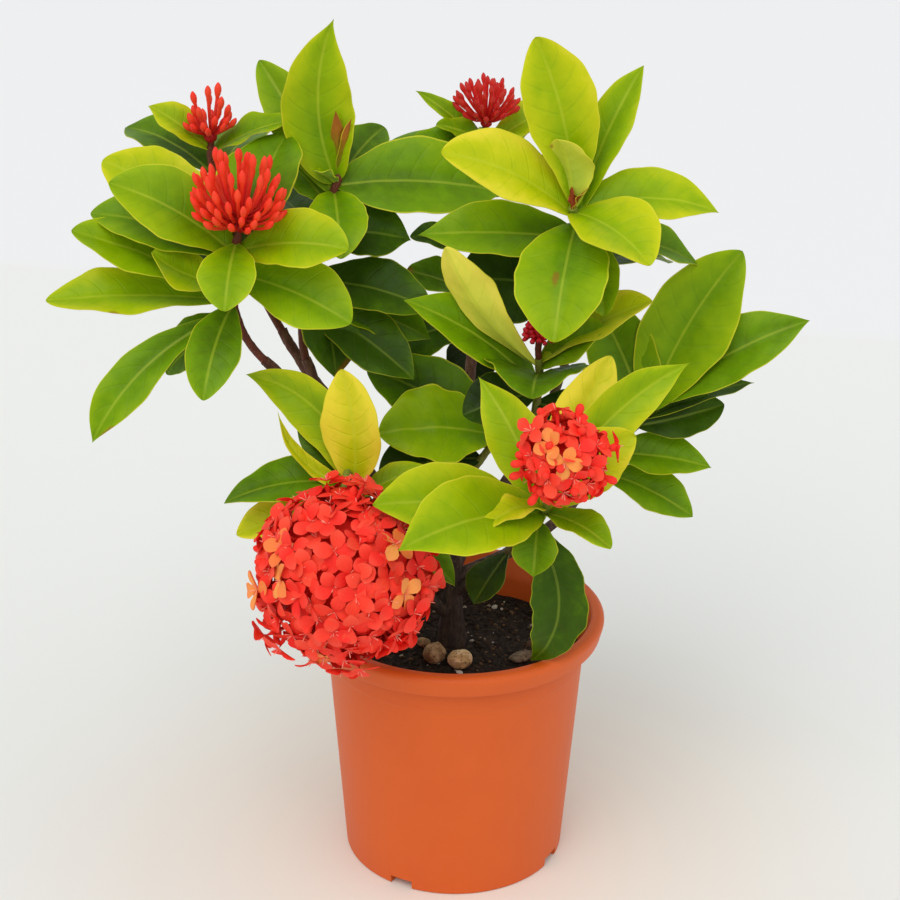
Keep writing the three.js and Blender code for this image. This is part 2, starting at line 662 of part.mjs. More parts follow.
function headGeometry(head, coreDetail, count, repeat) {
  const random = seededRandom(head.seed);
  const shoot = shootNamed(head.shoot);
  const centre = vector(head.centre);
  const outOfStalk = centre.clone().sub(vector(shoot.tip));
  const axis = (head.axis ? vector(head.axis) : outOfStalk).normalize();
  const repeats = spreadDirections(count, axis, head.spread, random)
    .map((direction) => repeat(centre, axis, direction, random));
  const core = ballGeometry(head.coreRadius, coreDetail, head.centre);
  return fuse([core, stalkGeometry(shoot, centre), ...repeats]);
}

function openHeadGeometry(head) {
  return headGeometry(head, 1, head.florets, (centre, axis, direction, random) => {
    const out = head.radius * THREE.MathUtils.lerp(...FLORET_SCATTER, random());
    const lean = new THREE.Vector3(random() - 0.5, random() - 0.5, random() - 0.5);
    const inward = direction.clone().addScaledVector(lean, FLORET_LEAN).normalize();
    const face = centre.clone().addScaledVector(direction, out);
    const root = face.clone().addScaledVector(inward, FLORET_ROOT * head.coreRadius - out);
    return floretGeometry(face, root, head.floretRadius, 2 * Math.PI * random());
  });
}

function budHeadGeometry(head) {
  return headGeometry(head, 0, head.buds, (centre, axis, direction, random) => {
    const level = Math.max(direction.dot(axis), 0) ** head.peak;
    const reach = THREE.MathUtils.lerp(head.low, head.high, level)
      * THREE.MathUtils.lerp(...BUD_SCATTER, random());
    return budGeometry(centre, direction, BUD_ROOT * head.coreRadius, reach, head.budRadius);
  });
}

// ---------------------------------------------------------------- stones

// A stone is a ball squeezed to its size, with a flat underside that lies on the soil.
function stoneGeometry(stone) {
  const [length, width, height] = stone.size;
  const ball = bareGeometry(new THREE.IcosahedronGeometry(0.5, 1));
  const corners = ball.attributes.position;
  for (let k = 0; k < corners.count; k += 1) {
    const level = Math.max(corners.getZ(k) + 0.5, STONE_SINK) - STONE_SINK;
    corners.setXYZ(k, corners.getX(k) * length, corners.getY(k) * width, level * height);
  }
  const soilTop = SOIL_LEVEL + SOIL_ROUGHNESS / 2;
  return ball.rotateZ(radians(stone.turn)).translate(...stone.place, soilTop);
}

// ---------------------------------------------------------------- assembly

const ixora = new THREE.Group();
ixora.add(namedMesh("pot", potGeometry(), POT_PLASTIC));
ixora.add(namedMesh("soil", soilGeometry(), POTTING_SOIL));
ixora.add(namedMesh("wood", woodGeometry(), BARK));
for (const shoot of SHOOTS) {
  ixora.add(namedMesh(shoot.name, shootGeometry(shoot), LEAF));
}
for (const head of OPEN_HEADS) {
  ixora.add(namedMesh(head.name, openHeadGeometry(head), PETAL));
}
for (const head of BUD_HEADS) {
  ixora.add(namedMesh(head.name, budHeadGeometry(head), head.dark ? DARK_BUD : BUD));
}
for (const stone of PEBBLES) {
  const material = stone.name === "bark_chip" ? BARK_CHIP : STONE;
  ixora.add(namedMesh(stone.name, stoneGeometry(stone), material));
}

export default ixora;
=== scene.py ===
"""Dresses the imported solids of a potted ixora: pot, soil, stones, wood, leaves and flowers.

Shapes are worked out in millimetres and put into metres when their mesh is made.
"""

import math

import bpy
import numpy as np
from bpy.props import FloatProperty, FloatVectorProperty, IntProperty, PointerProperty
from mathutils import Matrix, Vector


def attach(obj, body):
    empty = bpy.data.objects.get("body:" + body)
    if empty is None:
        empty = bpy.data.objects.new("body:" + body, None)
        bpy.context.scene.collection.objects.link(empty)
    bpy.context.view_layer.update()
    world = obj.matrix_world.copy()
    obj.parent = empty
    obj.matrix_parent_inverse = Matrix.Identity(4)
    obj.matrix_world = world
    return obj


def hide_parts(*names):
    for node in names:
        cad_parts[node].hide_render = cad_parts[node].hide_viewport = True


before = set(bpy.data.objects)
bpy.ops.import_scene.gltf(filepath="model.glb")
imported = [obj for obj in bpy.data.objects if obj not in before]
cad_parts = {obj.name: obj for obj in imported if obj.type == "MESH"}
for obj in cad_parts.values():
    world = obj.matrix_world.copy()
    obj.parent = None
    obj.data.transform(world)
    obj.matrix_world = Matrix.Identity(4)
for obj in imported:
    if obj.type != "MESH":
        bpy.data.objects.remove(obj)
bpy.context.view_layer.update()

bl_info = {
    "name": "Potted Ixora",
    "version": (1, 0, 0),
    "blender": (4, 5, 0),
    "location": "3D View > Sidebar > Ixora",
    "description": "A small flowering ixora in a round plastic nursery pot",
    "category": "Object",
}

MM = 0.001


def paint(red, green, blue):
    """A colour given as 0 to 255 on a screen, as the linear light that shaders take."""
    share = np.array([red, green, blue]) / 255
    low = share / 12.92
    high = ((share + 0.055) / 1.055) ** 2.4
    return tuple(np.where(share < 0.04, low, high).round(4).tolist())


# ---------------------------------------------------------------- sizes shared with the solids

POT = {
    "height": 132.7, "rim": 75.0, "lip_height": 11.0, "lip_inner": 68.4, "lip_step": 2.2,
    "body_top": 65.6, "base": 56.5, "wall": 1.8, "ring": 9.0, "lift": 4.6, "floor": 2.0,
    "pad": 14.0, "notches": 4, "notch_width": 12.0, "first_notch": -118.0,
    "drain": 4.5, "drain_distance": 33.0,
}
SOIL_LEVEL = 112.0
REST_GAP = 0.3
STONE_FLAT = 0.14
TRUNK_X = -2.0
TRUNK_FOOT = 45.0
TRUNK_RADIUS = 5.3
FLARE = 2.5
FLARE_REACH = 13
FORK = (1, 1, 168)
BRANCH_LEAD = 9.0
BRANCH_SAG = 0.06
BRANCH_RADII = (3.3, 2.5)
STALK_RADIUS = 1.6
UNEVEN_TURN = 0.13
STEM_RADIUS = 2.1
FOLD = math.radians(15)

# A blade's petiole ends at a share of its length. Its midrib reaches some mm to each side,
# and is a groove above and a rib below. SWELL is the height between two side veins. The
# stations along it are crowded towards its tip.
BLADE_POWER = 0.62
TIP_POWER = 0.06
STATION_CROWDING = 1.35
PETIOLE_REACH = 0.3
MIDRIB_REACH = 0.8
GROOVE = 0.35
RIB = 0.5
SWELL = 0.14
BLADES_APART = 97.0  # so far apart, in mm, blades have lumps of their own
FINISH_UNIT = 20.0  # the leaf's finish reads half widths and marks in this many mm

TRUNK_SIDES = 18
LIMB_SIDES = 12
STEM_FINISH = 1  # the place of the stem's finish on shoots and heads
POT_SIDES = 192
POT_CREASE = 35
LIP_POINTS = 3  # points of the section between the top of the lip and the inside
# The wall's step under the lip: how far out and how far down its two edges are.
WALL_STEP = ((-0.1, 13), (0.35, 12.2))
# The soil stays this far from the wall at its top and at its foot.
TOP_CLEARANCE = 1.3
FOOT_CLEARANCE = 0.6
GRAIN_SPREAD = 60
COARSE_GRAINS = 14
PIT_DEPTH = 0.16
PIT_SPREAD = 0.02

# A shoot's stem is a parabola through its tip, elbow and foot. Its branch starts at the
# start, and red says how far its skin has turned from green.
SHOOTS = {
    "shoot_left": {
        "tip": (-101, -15, 329), "elbow": (-105, -9, 292), "foot": (-91, -5, 264),
        "start": (-2, 0, 140), "red": 0.9,
    },
    "shoot_rear_left": {
        "tip": (-119, 38, 358), "elbow": (-112, 36, 320), "foot": (-86, 28, 268),
        "start": (-40, 8, 215), "red": 0.8,
    },
    "shoot_middle": {
        "tip": (-57, 35, 347), "elbow": (-74, 24, 290), "foot": (-74, 20, 256),
        "start": (-2, 1, 150), "red": 0.7,
    },
    "shoot_rear_top": {
        "tip": (13, 85, 356), "elbow": (14, 78, 320), "foot": (8, 52, 260),
        "start": FORK, "red": 0.3,
    },
    "shoot_right_top": {
        "tip": (52, 0, 339), "elbow": (58, 22, 290), "foot": (48, 30, 236),
        "start": FORK, "red": 0.2,
    },
    "shoot_right": {
        "tip": (100, 25, 236), "elbow": (84, 24, 216), "foot": (60, 20, 184),
        "start": (0, 0, 150), "red": 0.1,
    },
    "shoot_front": {
        "tip": (40, -68, 220), "elbow": (36, -56, 204), "foot": (22, -24, 172),
        "start": (0, 0, 142), "red": 0.2,
    },
    "shoot_front_left": {
        "tip": (-50, -32, 216), "elbow": (-40, -24, 191), "foot": (-22, -15, 158),
        "start": (-2, 0, 128), "red": 0.2,
    },
    "shoot_centre": {
        "tip": (38, -4, 267), "elbow": (37, 4, 235), "foot": (26, 10, 190),
        "start": FORK, "red": 0.3,
    },
    "shoot_low": {
        "tip": (20, 16, 219), "elbow": (8, 12, 203), "foot": (-6, 7, 184),
        "start": (-1, 1, 160), "red": 0.3,
    },
}

# A leaf: name, distance below the stem's tip, heading, rise, droop, length, width, belly,
# roll and tone, which goes from 0, old and dark, through green to 9, yellow; 10 is a
# reddish young leaf.
LEAVES = {
    "shoot_left": (
        ("A1", 12, 150, 42, 32, 84, 38, 0.55, -45, 7),
        ("A2", 10, 182, 46, 30, 65, 38, 0.55, -45, 5),
        ("A3", 12, 172, 30, 30, 70, 34, 0.55, -35, 4),
        ("A4", 30, 184, 30, 14, 78, 32, 0.6, -35, 5),
        ("A5", 34, 185, 8, 14, 86, 30, 0.6, -30, 6),
        ("A6", 26, 203, 10, -36, 42, 27, 0.62, -40, 6),
        ("A7", 4, 267, -8, 44, 44, 28, 0.62, 0, 5),
        ("A8", 40, 203, -13, 50, 93, 24, 0.66, -45, 4),
        ("A9", 36, 256, -14, 48, 55, 26, 0.58, -20, 4),
        ("A10", 44, 172, -22, 34, 47, 26, 0.55, -50, 3),
        ("A11", 9, 340, 22, 30, 58, 34, 0.58, 42, 6),
        ("A12", 20, 342, -4, 26, 62, 36, 0.58, 45, 5),
        ("A13", 26, 30, -10, 20, 42, 26, 0.55, 40, 2),
        ("A14", 12, 66, 54, 24, 71, 44, 0.58, 0, 3),
        ("A15", 30, 128, 15, 30, 60, 30, 0.58, -15, 2),
    ),
    "shoot_rear_left": (
        ("B1", 2, 175, 45, 20, 36, 20, 0.55, -35, 7),
        ("B2", 4, 0, 38, 30, 43, 22, 0.55, 20, 5),
        ("B3", 14, 140, 30, 35, 66, 30, 0.58, -20, 3),
        ("B4", 20, 80, 30, 40, 70, 32, 0.58, 0, 3),
        ("B5", 34, 165, 10, 35, 66, 30, 0.58, -10, 2),
        ("B6", 44, 110, 0, 30, 64, 30, 0.58, 0, 1),
    ),
    "shoot_middle": (
        ("C1", 6, 180, 66, -48, 80, 36, 0.45, -90, 6),
        ("C2", 12, 142, 58, 12, 75, 26, 0.55, -50, 5),
        ("C3", 2, 265, 80, 8, 34, 7, 0.5, 0, 10),
        ("C4", 3, 315, 76, 6, 31, 7, 0.5, 0, 10),
        ("C5", 6, 228, 45, 30, 18, 10, 0.5, 0, 5),
        ("C10", 7, 5, 8, 22, 80, 44, 0.5, 50, 4),
        ("C11", 12, 60, 45, 35, 54, 24, 0.55, 30, 3),
        ("C12", 10, 278, -10, 40, 46, 30, 0.55, 0, 5),
        ("C13", 18, 141, 45, 20, 32, 18, 0.55, -30, 4),
        ("M1", 31, 0, 8, 24, 44, 34, 0.55, 45, 2),
        ("M3", 49, 303, -45, 40, 56, 36, 0.5, 0, 2),
        ("M4", 55, 350, 5, 30, 62, 32, 0.55, 40, 2),
        ("M5", 65, 340, -20, 20, 66, 32, 0.55, 40, 2),
        ("M6", 35, 120, 30, 40, 68, 30, 0.58, 0, 2),
        ("M7", 59, 4, -16, 15, 66, 30, 0.55, 45, 3),
    ),
    "shoot_rear_top": (
        ("D1", 8, 178, 44, 12, 46, 13, 0.5, -40, 5),
        ("D2", 6, 200, 35, 25, 30, 15, 0.5, -40, 5),
        ("D3", 12, 192, 26, 20, 40, 18, 0.5, -40, 4),
        ("D4", 9, 16, 44, 30, 43, 20, 0.58, 35, 6),
        ("D5", 19, 75, 30, 50, 62, 30, 0.58, 0, 3),
        ("D6", 25, 140, 30, 40, 68, 30, 0.58, -10, 3),
        ("D7", 33, 30, 20, 35, 66, 30, 0.58, 20, 2),
        ("D8", 95, 192, -8, 15, 54, 30, 0.55, -45, 2),
        ("D9", 57, 178, 16, 20, 38, 20, 0.55, -30, 2),
        ("D10", 83, 190, 30, 15, 40, 22, 0.6, -40, 3),
        ("D11", 91, 95, -42, 52, 54, 30, 0.55, 180, 0),
    ),
    "shoot_right_top": (
        ("E1", 3, 180, 88, 24, 83, 36, 0.62, -85, 7),
        ("E2", 6, 198, 45, 35, 75, 36, 0.58, -50, 8),
        ("E3", 8, 24, 75, 20, 77, 22, 0.58, 40, 6),
        ("E4", 4, 4, 24, 48, 70, 32, 0.5, 38, 6),
        ("E5", 3, 312, 4, 42, 52, 42, 0.5, 14, 7),
        ("E6", 10, 256, -20, 45, 66, 46, 0.55, 0, 5),
        ("E7", 2, 237, 87, 40, 40, 24, 0.6, 0, 8),
        ("E9", 20, 184, 8, 12, 76, 32, 0.5, -45, 4),
        ("E11", 22, 17, 7, 44, 67, 26, 0.55, 30, 3),
        ("E12", 16, 290, -28, 30, 46, 24, 0.55, 20, 5),
        ("E13", 16, 80, 28, 42, 62, 28, 0.58, 0, 3),
        ("E14", 40, 45, 10, 35, 70, 30, 0.58, 10, 2),
        ("E15", 54, 188, 22, 26, 60, 50, 0.58, -55, 1),
    ),
    "shoot_right": (
        ("F1", 8, 7, 75, 25, 92, 46, 0.52, 70, 5),
        ("F2", 4, 356, 45, 25, 87, 33, 0.55, 55, 4),
        ("F3", 14, 19, 22, 20, 64, 17, 0.55, 20, 2),
        ("F4", 18, 8, 7, -10, 46, 26, 0.55, 50, 2),
        ("F5", 36, 354, 4, 20, 50, 27, 0.5, 35, 4),
        ("F6", 48, 345, -7, 28, 53, 26, 0.58, 35, 4),
        ("F8", 12, 162, 74, 20, 66, 36, 0.5, -70, 4),
        ("F9", 16, 60, 40, 40, 74, 32, 0.58, 0, 3),
        ("F10", 30, 100, 20, 40, 68, 30, 0.58, 0, 2),
        ("F11", 44, 40, 0, 30, 66, 30, 0.58, 0, 2),
    ),
    "shoot_front": (
        ("G1", 8, 50, 62, 20, 80, 29, 0.55, 48, 9),
        ("G2", 8, 140, 70, 30, 70, 27, 0.5, -50, 6),
        ("G3", 12, 10, 60, 38, 58, 30, 0.58, 70, 7),
        ("G4", 8, 222, 20, 30, 88, 40, 0.5, -40, 6),
        ("G5", 16, 199, 26, 26, 82, 38, 0.55, -45, 6),
        ("G6", 5, 224, 34, 62, 42, 18, 0.5, -10, 8),
        ("G7", 8, 318, 12, 40, 40, 20, 0.55, 10, 5),
        ("G8", 16, 260, -38, 40, 27, 22, 0.55, 0, 4),
        ("G9", 26, 324, -40, 98, 78, 28, 0.5, 50, 2),
        ("G10", 14, 20, 66, 46, 102, 24, 0.6, 62, 6),
        ("P1", 58, 218, -38, 15, 31, 22, 0.62, -10, 1),
    ),
    "shoot_front_left": (
        ("H1", 4, 136, 98, 32, 57, 31, 0.5, -60, 9),
        ("H2", 8, 158, 84, 86, 84, 27, 0.5, -80, 6),
        ("H3", 14, 162, 60, 20, 50, 22, 0.55, -60, 2),
        ("H4", 6, 184, 12, -72, 56, 9, 0.4, -40, 8),
        ("H5", 4, 181, 12, 42, 64, 28, 0.48, -25, 3),
        ("H6", 16, 180, -3, 26, 64, 24, 0.6, -40, 8),
        ("H7", 12, 17, 30, 25, 36, 15, 0.55, 35, 6),
        ("P2", 40, 334, -5, 40, 43, 22, 0.55, 10, 3),
        ("P3", 54, 266, -36, 22, 46, 24, 0.55, 0, 2),
    ),
    "shoot_centre": (
        ("N1", 5, 187, 38, -30, 76, 24, 0.64, 62, 9),
        ("N2", 18, 184, 50, 30, 80, 32, 0.55, -40, 4),
        ("O1", 3, 354, 45, 25, 62, 28, 0.6, 25, 8),
        ("O2", 6, 339, 50, 25, 40, 26, 0.55, 45, 5),
        ("O3", 12, 262, 40, 70, 40, 52, 0.4, 0, 3),
        ("O5", 20, 184, -8, 18, 38, 30, 0.55, -45, 1),
        ("O6", 26, 352, -12, 20, 36, 28, 0.55, 45, 1),
    ),
    "shoot_low": (
        ("Q1", 0, 196, 22, 30, 62, 42, 0.55, -50, 5),
        ("Q2", 6, 163, 46, 38, 74, 40, 0.5, -46, 3),
        ("Q3", 14, 190, 8, 30, 52, 36, 0.55, -40, 1),
    ),
}
# Tiny leaves at a shoot's tip, with the same columns; tone 11 is red-brown.
SPROUTS = {
    "shoot_right_top": (
        ("S1", 0, 330, 70, 30, 13, 5, 0.4, 30, 11),
        ("S2", 0, 20, 78, 20, 24, 5, 0.7, 20, 11),
        ("S3", 0, 250, 80, 10, 11, 4, 0.4, 0, 11),
    ),
}

# Brown or pale marks on single leaves: share along, share across, and radius in mm.
BLEMISHES = {
    "A5": (0.62, 1.0, 1.6), "C2": (0.45, 1.0, 1.8), "E6": (0.55, -0.15, 2.2),
    "G3": (0.6, 0.5, 2), "M3": (0.9, 0.8, 4), "A8": (0.9, 1.0, 2), "D10": (0.97, 0.0, 3),
    "E7": (0.8, -0.9, 1.6), "A1": (0.55, 0.5, 1.2), "C1": (0.35, -0.6, 1.2),
}
# How many times as high as on the others the swells and lumps of these leaves are.
CRINKLED = {"Q1": 4.0, "G9": 3.0, "O3": 3.0}
# How much more sharply than the others these leaves end.
POINTED = {
    "A8": 0.5, "B1": 0.4, "B3": 0.3, "C1": 0.7, "C3": 0.4, "C4": 0.4, "D1": 0.4, "E3": 0.3,
    "E4": 0.5, "E7": 0.2, "E9": 0.6, "E11": 0.6, "F2": 0.4, "F3": 0.8, "F5": 0.5, "F6": 0.2,
    "G2": 0.8, "G4": 0.5, "G5": 0.2, "G8": 0.6, "G10": 0.8, "G9": 0.3, "H2": 0.5, "H4": 0.8,
    "H5": 0.3, "M1": 0.6, "M3": 0.5, "M5": 0.3, "M7": 0.4, "N2": 0.5, "P1": 0.5, "P2": 0.5,
}

# An open head's florets reach its radius and stand round its core, as far from its axis as
# its spread angle. They are aged towards "orange" and stand out towards "loose". It has
# "closed" buds among them, and one more towards each of "poking".
OPEN_HEADS = {
    "bloom_front_left": {
        "shoot": "shoot_front_left", "centre": (-51, -73, 186), "core": 34.0, "radius": 39.5,
        "florets": 196, "floret": 9.7, "spread": 171, "closed": 24, "seed": 11,
        "orange": ((-0.8, -0.5, 0.42), (-0.72, -0.62, 0.4), (-0.7, -0.66, 0.22),
                   (-0.95, -0.32, 0.0), (-0.9, -0.44, -0.1), (0.8, -0.6, 0.1),
                   (0.62, -0.5, 0.6), (-0.3, -0.5, -0.8)),
        "loose": ((0.02, 0.3, 0.95), (0.22, 0.25, 0.94), (-0.16, 0.2, 0.97),
                  (0.1, -0.02, 0.99), (-0.74, -0.2, -0.62), (-0.6, -0.35, -0.72),
                  (-0.3, -0.3, -0.9), (-0.1, -0.42, -0.9), (0.1, -0.4, -0.92)),
        "poking": (),
    },
    "bloom_front": {
        "shoot": "shoot_front", "centre": (46, -84, 248), "core": 13.0, "radius": 17.5,
        "florets": 44, "floret": 8.4, "spread": 136, "closed": 30, "seed": 23,
        "orange": ((-0.05, -0.75, 0.66), (-0.2, -0.86, 0.45)),
        "loose": ((0.95, -0.2, 0.1), (0.1, 0.1, 0.98), (-0.8, -0.3, 0.5)),
        "poking": ((-1, -0.25, -0.28), (-0.95, -0.4, 0.05), (0.3, 0.25, 0.95),
                   (0.93, -0.2, -0.35), (1, -0.1, 0.3), (-0.45, 0.1, 0.9),
                   (-0.6, -0.4, -0.7)),
    },
}
# A head of buds reaches "low" mm at its sides and "high" mm along its axis, and the larger
# its "peak", the fewer of its buds are tall.
BUD_HEADS = {
    "buds_left": {
        "shoot": "shoot_left", "centre": (-100, -18, 335), "core": 4.5, "axis": (0.03, -0.1, 1),
        "low": 22.0, "high": 37.0, "peak": 1.8, "bend": 0.5,
        "buds": 78, "bud": 1.7, "spread": 76, "seed": 5, "dark": 0.0,
    },
    "buds_rear_left": {
        "shoot": "shoot_rear_left", "centre": (-119, 37, 363), "core": 3.5,
        "axis": (0.02, -0.1, 1), "low": 15.0, "high": 31.0, "peak": 9.0, "bend": 0.4,
        "buds": 24, "bud": 1.65, "spread": 62, "seed": 7, "dark": 0.1,
    },
    "buds_rear_top": {
        "shoot": "shoot_rear_top", "centre": (13, 85, 361), "core": 3.2, "axis": (0, -0.1, 1),
        "low": 16.0, "high": 25.0, "peak": 1.0, "bend": 0.3,
        "buds": 56, "bud": 1.3, "spread": 66, "seed": 9, "dark": 0.6,
    },
    "buds_centre": {
        "shoot": "shoot_centre", "centre": (38, -6, 280), "core": 4.5, "axis": (0, -0.2, 1),
        "low": 9.0, "high": 8.5, "peak": 1.0, "bend": 0.0,
        "buds": 46, "bud": 1.25, "spread": 110, "seed": 13, "dark": 1.0,
    },
}
STONES = {
    "pebble_tan": {"place": (2, -24), "size": (13, 12, 10), "turn": 20, "pits": 2},
    "pebble_brown": {"place": (-10.5, -18.5), "size": (12.5, 12, 11), "turn": 70, "pits": 3},
    "pebble_small": {"place": (-16, -4), "size": (9, 6, 5.5), "turn": 130, "pits": 0},
    "bark_chip": {"place": (33, -17), "size": (14, 9, 5), "turn": 35, "pits": 0},
}


# ---------------------------------------------------------------- small vector helpers

def unit(vectors):
    """The vectors divided by their lengths."""
    return vectors / np.linalg.norm(vectors, axis=-1, keepdims=True)


def fade(low, high, value):
    """0 below low, 1 above high, and the cubic 3x^2 - 2x^3 between."""
    share = np.clip((value - low) / (high - low), 0, 1)
    return share * share * (3 - 2 * share)


def ripples(points, spacing, seed, waves=7):
    """A smooth unevenness from -1 to 1: the mean of sines along random directions."""
    draw = np.random.default_rng(seed)
    directions = unit(draw.normal(size=(waves, 3)))
    rates = directions * draw.uniform(0.6, 1.7, (waves, 1)) * 2 * math.pi / spacing
    phases = draw.uniform(0, 2 * math.pi, waves)
    return np.sin(points @ rates.T + phases).mean(axis=-1) * 2


def spline(points, count):
    """A cubic through the points, whose slope at each is that of the parabola through it
    and its neighbours."""
    points = np.asarray(points, float)
    knots = distances_down(points)
    gaps = np.diff(knots)
    slopes = np.gradient(points, knots, axis=0)
    reach = np.linspace(0, knots[-1], count)
    span = np.clip(np.searchsorted(knots, reach, side="right") - 1, 0, len(gaps) - 1)
    width = gaps[span][:, None]
    x = ((reach - knots[span]) / gaps[span])[:, None]
    return (
        points[span] * (1 + 2 * x) * (1 - x) ** 2
        + points[span + 1] * x * x * (3 - 2 * x)
        + slopes[span] * width * x * (1 - x) ** 2
        - slopes[span + 1] * width * x * x * (1 - x)
    )


def stem_line(shoot, count=41):
    """The parabola through a stem's tip, elbow and foot."""
    tip, elbow, foot = (np.array(shoot[key], float) for key in ("tip", "elbow", "foot"))
    pull = 2 * elbow - (tip + foot) / 2
    t = np.linspace(0, 1, count)[:, None]
    return (1 - t) ** 2 * tip + 2 * t * (1 - t) * pull + t * t * foot


def distances_down(line):
    """How far along a line each of its points is."""
    steps = np.linalg.norm(np.diff(line, axis=0), axis=1)
    return np.concatenate([[0], np.cumsum(steps)])


def points_down(line, distances):
    """The points at these distances along a line."""
    reached = distances_down(line)
    return np.stack([np.interp(distances, reached, line[:, axis]) for axis in range(3)], -1)


def across_frames(directions):
    """Two unit vectors square to each direction, which go counterclockwise round it."""
    upright = np.abs(directions[..., 2:]) > 0.9
    helper = np.where(upright, [1.0, 0.0, 0.0], [0.0, 0.0, 1.0])
    first = unit(np.cross(helper, directions))
    return first, np.cross(directions, first)


def fan(first, second, angle):
    """Unit vectors at these angles from the first towards the second of two others."""
    first, second = first[..., None, :], second[..., None, :]
    return np.cos(angle)[..., None] * first + np.sin(angle)[..., None] * second


def circle(first, second, sides):
    """Unit vectors all round, in the plane of two others."""
    return fan(first, second, np.linspace(0, 2 * math.pi, sides, endpoint=False))


def ball(rings, sides, reach):
    """A unit ball of rings from below to above, up to a share of the way to its poles."""
    rise = (np.linspace(-reach, reach, rings) * math.pi / 2)[:, None]
    turn = np.linspace(0, 2 * math.pi, sides, endpoint=False)
    return np.stack([np.cos(rise) * np.cos(turn), np.cos(rise) * np.sin(turn),
                     np.sin(rise) + turn * 0], -1)


def turning(heading):
    """The matrices that turn vectors by these headings about the upright axis."""
    cos, sin, none = np.cos(heading), np.sin(heading), np.zeros_like(heading)
    rows = (cos, sin, none), (-sin, cos, none), (none, none, none + 1)
    return np.stack([np.stack(row, -1) for row in rows], -2)


def spread_directions(count, axis, spread, draw):
    """Directions that follow the golden angle, from an axis out to the spread angle."""
    golden = math.pi * (3 - math.sqrt(5))
    order = np.arange(count)
    height = 1 - (1 - math.cos(math.radians(spread))) * (order + 0.5) / count
    across = np.sqrt(1 - height * height)
    angle = golden * order + draw.uniform(-UNEVEN_TURN, UNEVEN_TURN, count)
    first, second = across_frames(axis)
    return (
        height[:, None] * axis
        + (across * np.cos(angle))[:, None] * first
        + (across * np.sin(angle))[:, None] * second
    )


# ---------------------------------------------------------------- skins and pieces

class Skin:
    """Closed surfaces that are alike: corners (copies, corners, 3), the faces of one copy,
    and values at the corners that the finish reads."""

    def __init__(self, corners, quads, triangles, finish=0, **values):
        copies, size = corners.shape[:2]
        start = np.arange(copies)[:, None, None] * size
        self.corners = corners.reshape(-1, 3)
        self.quads = (np.asarray(quads)[None] + start).reshape(-1, 4)
        self.triangles = (np.asarray(triangles)[None] + start).reshape(-1, 3)
        self.finish = finish
        self.values = {
            name: np.broadcast_to(value, (copies, size, 3)).reshape(-1, 3)
            for name, value in values.items()
        }


def tube_faces(rings, sides):
    """Quads between the rings of a tube, and triangles from its end rings to two poles,
    which are the last two corners."""
    ring = np.arange(rings - 1)[:, None] * sides
    side = np.arange(sides)[None, :]
    following = (side + 1) % sides
    quads = np.stack([ring + side, ring + following,
                      ring + sides + following, ring + sides + side], -1).reshape(-1, 4)
    side, following, last = side[0], following[0], (rings - 1) * sides
    first_pole, last_pole = np.full(sides, rings * sides), np.full(sides, rings * sides + 1)
    triangles = np.concatenate([
        np.stack([first_pole, following, side], -1),
        np.stack([last_pole, last + side, last + following], -1),
    ])
    return quads, triangles


def tube_skin(rings, first_pole, last_pole, finish=0, **values):
    """A skin of tubes from rings (copies, rings, sides, 3) and the poles that close them.
    A value is given at the rings, and each pole takes that of its ring's first corner."""
    copies, count, sides = rings.shape[:3]
    corners = np.concatenate(
        [rings.reshape(copies, -1, 3), first_pole[:, None], last_pole[:, None]], axis=1
    )
    spread = {}
    for name, value in values.items():
        full = np.broadcast_to(value, (copies, count, sides, 3))
        spread[name] = np.concatenate(
            [full.reshape(copies, -1, 3), full[:, 0, :1], full[:, -1, :1]], axis=1
        )
    return Skin(corners, *tube_faces(count, sides), finish, **spread)


def closed_rings(body, **values):
    """The skin of one body of rings, closed at the middles of its end rings."""
    return tube_skin(body[None], body[:1].mean(axis=1), body[-1:].mean(axis=1), **values)


def limb_skin(line, radii, sides, finish=0, roughness=0.0, seed=1, **values):
    """A tube with a radius at each point of a line, roughened by ripples."""
    along = unit(np.gradient(line, axis=0))
    helper = np.eye(3)[np.argmin(np.abs(along.mean(axis=0)))]
    first = unit(np.cross(helper, along))
    outward = circle(first, np.cross(along, first), sides)
    radii = np.broadcast_to(radii, len(line))[:, None, None]
    rings = line[:, None] + outward * radii
    rings = rings + outward * roughness * ripples(rings, 4.0, seed)[..., None]
    return tube_skin(rings[None], line[:1], line[-1:], finish, **values)


def make_mesh(name, skins):
    """A mesh of all the skins, in metres: their quads and then their triangles."""
    starts = np.cumsum([0] + [len(skin.corners) for skin in skins])
    quads = np.concatenate([skin.quads + at for skin, at in zip(skins, starts)])
    triangles = np.concatenate([skin.triangles + at for skin, at in zip(skins, starts)])
    corners = np.concatenate([skin.corners for skin in skins]) * MM
    mesh = bpy.data.meshes.new(name)
    mesh.from_pydata(corners.tolist(), [], quads.tolist() + triangles.tolist())
    return mesh


def add_object(name, data):
    """A new object in the scene."""
    made = bpy.data.objects.new(name, data)
    bpy.context.scene.collection.objects.link(made)
    return made


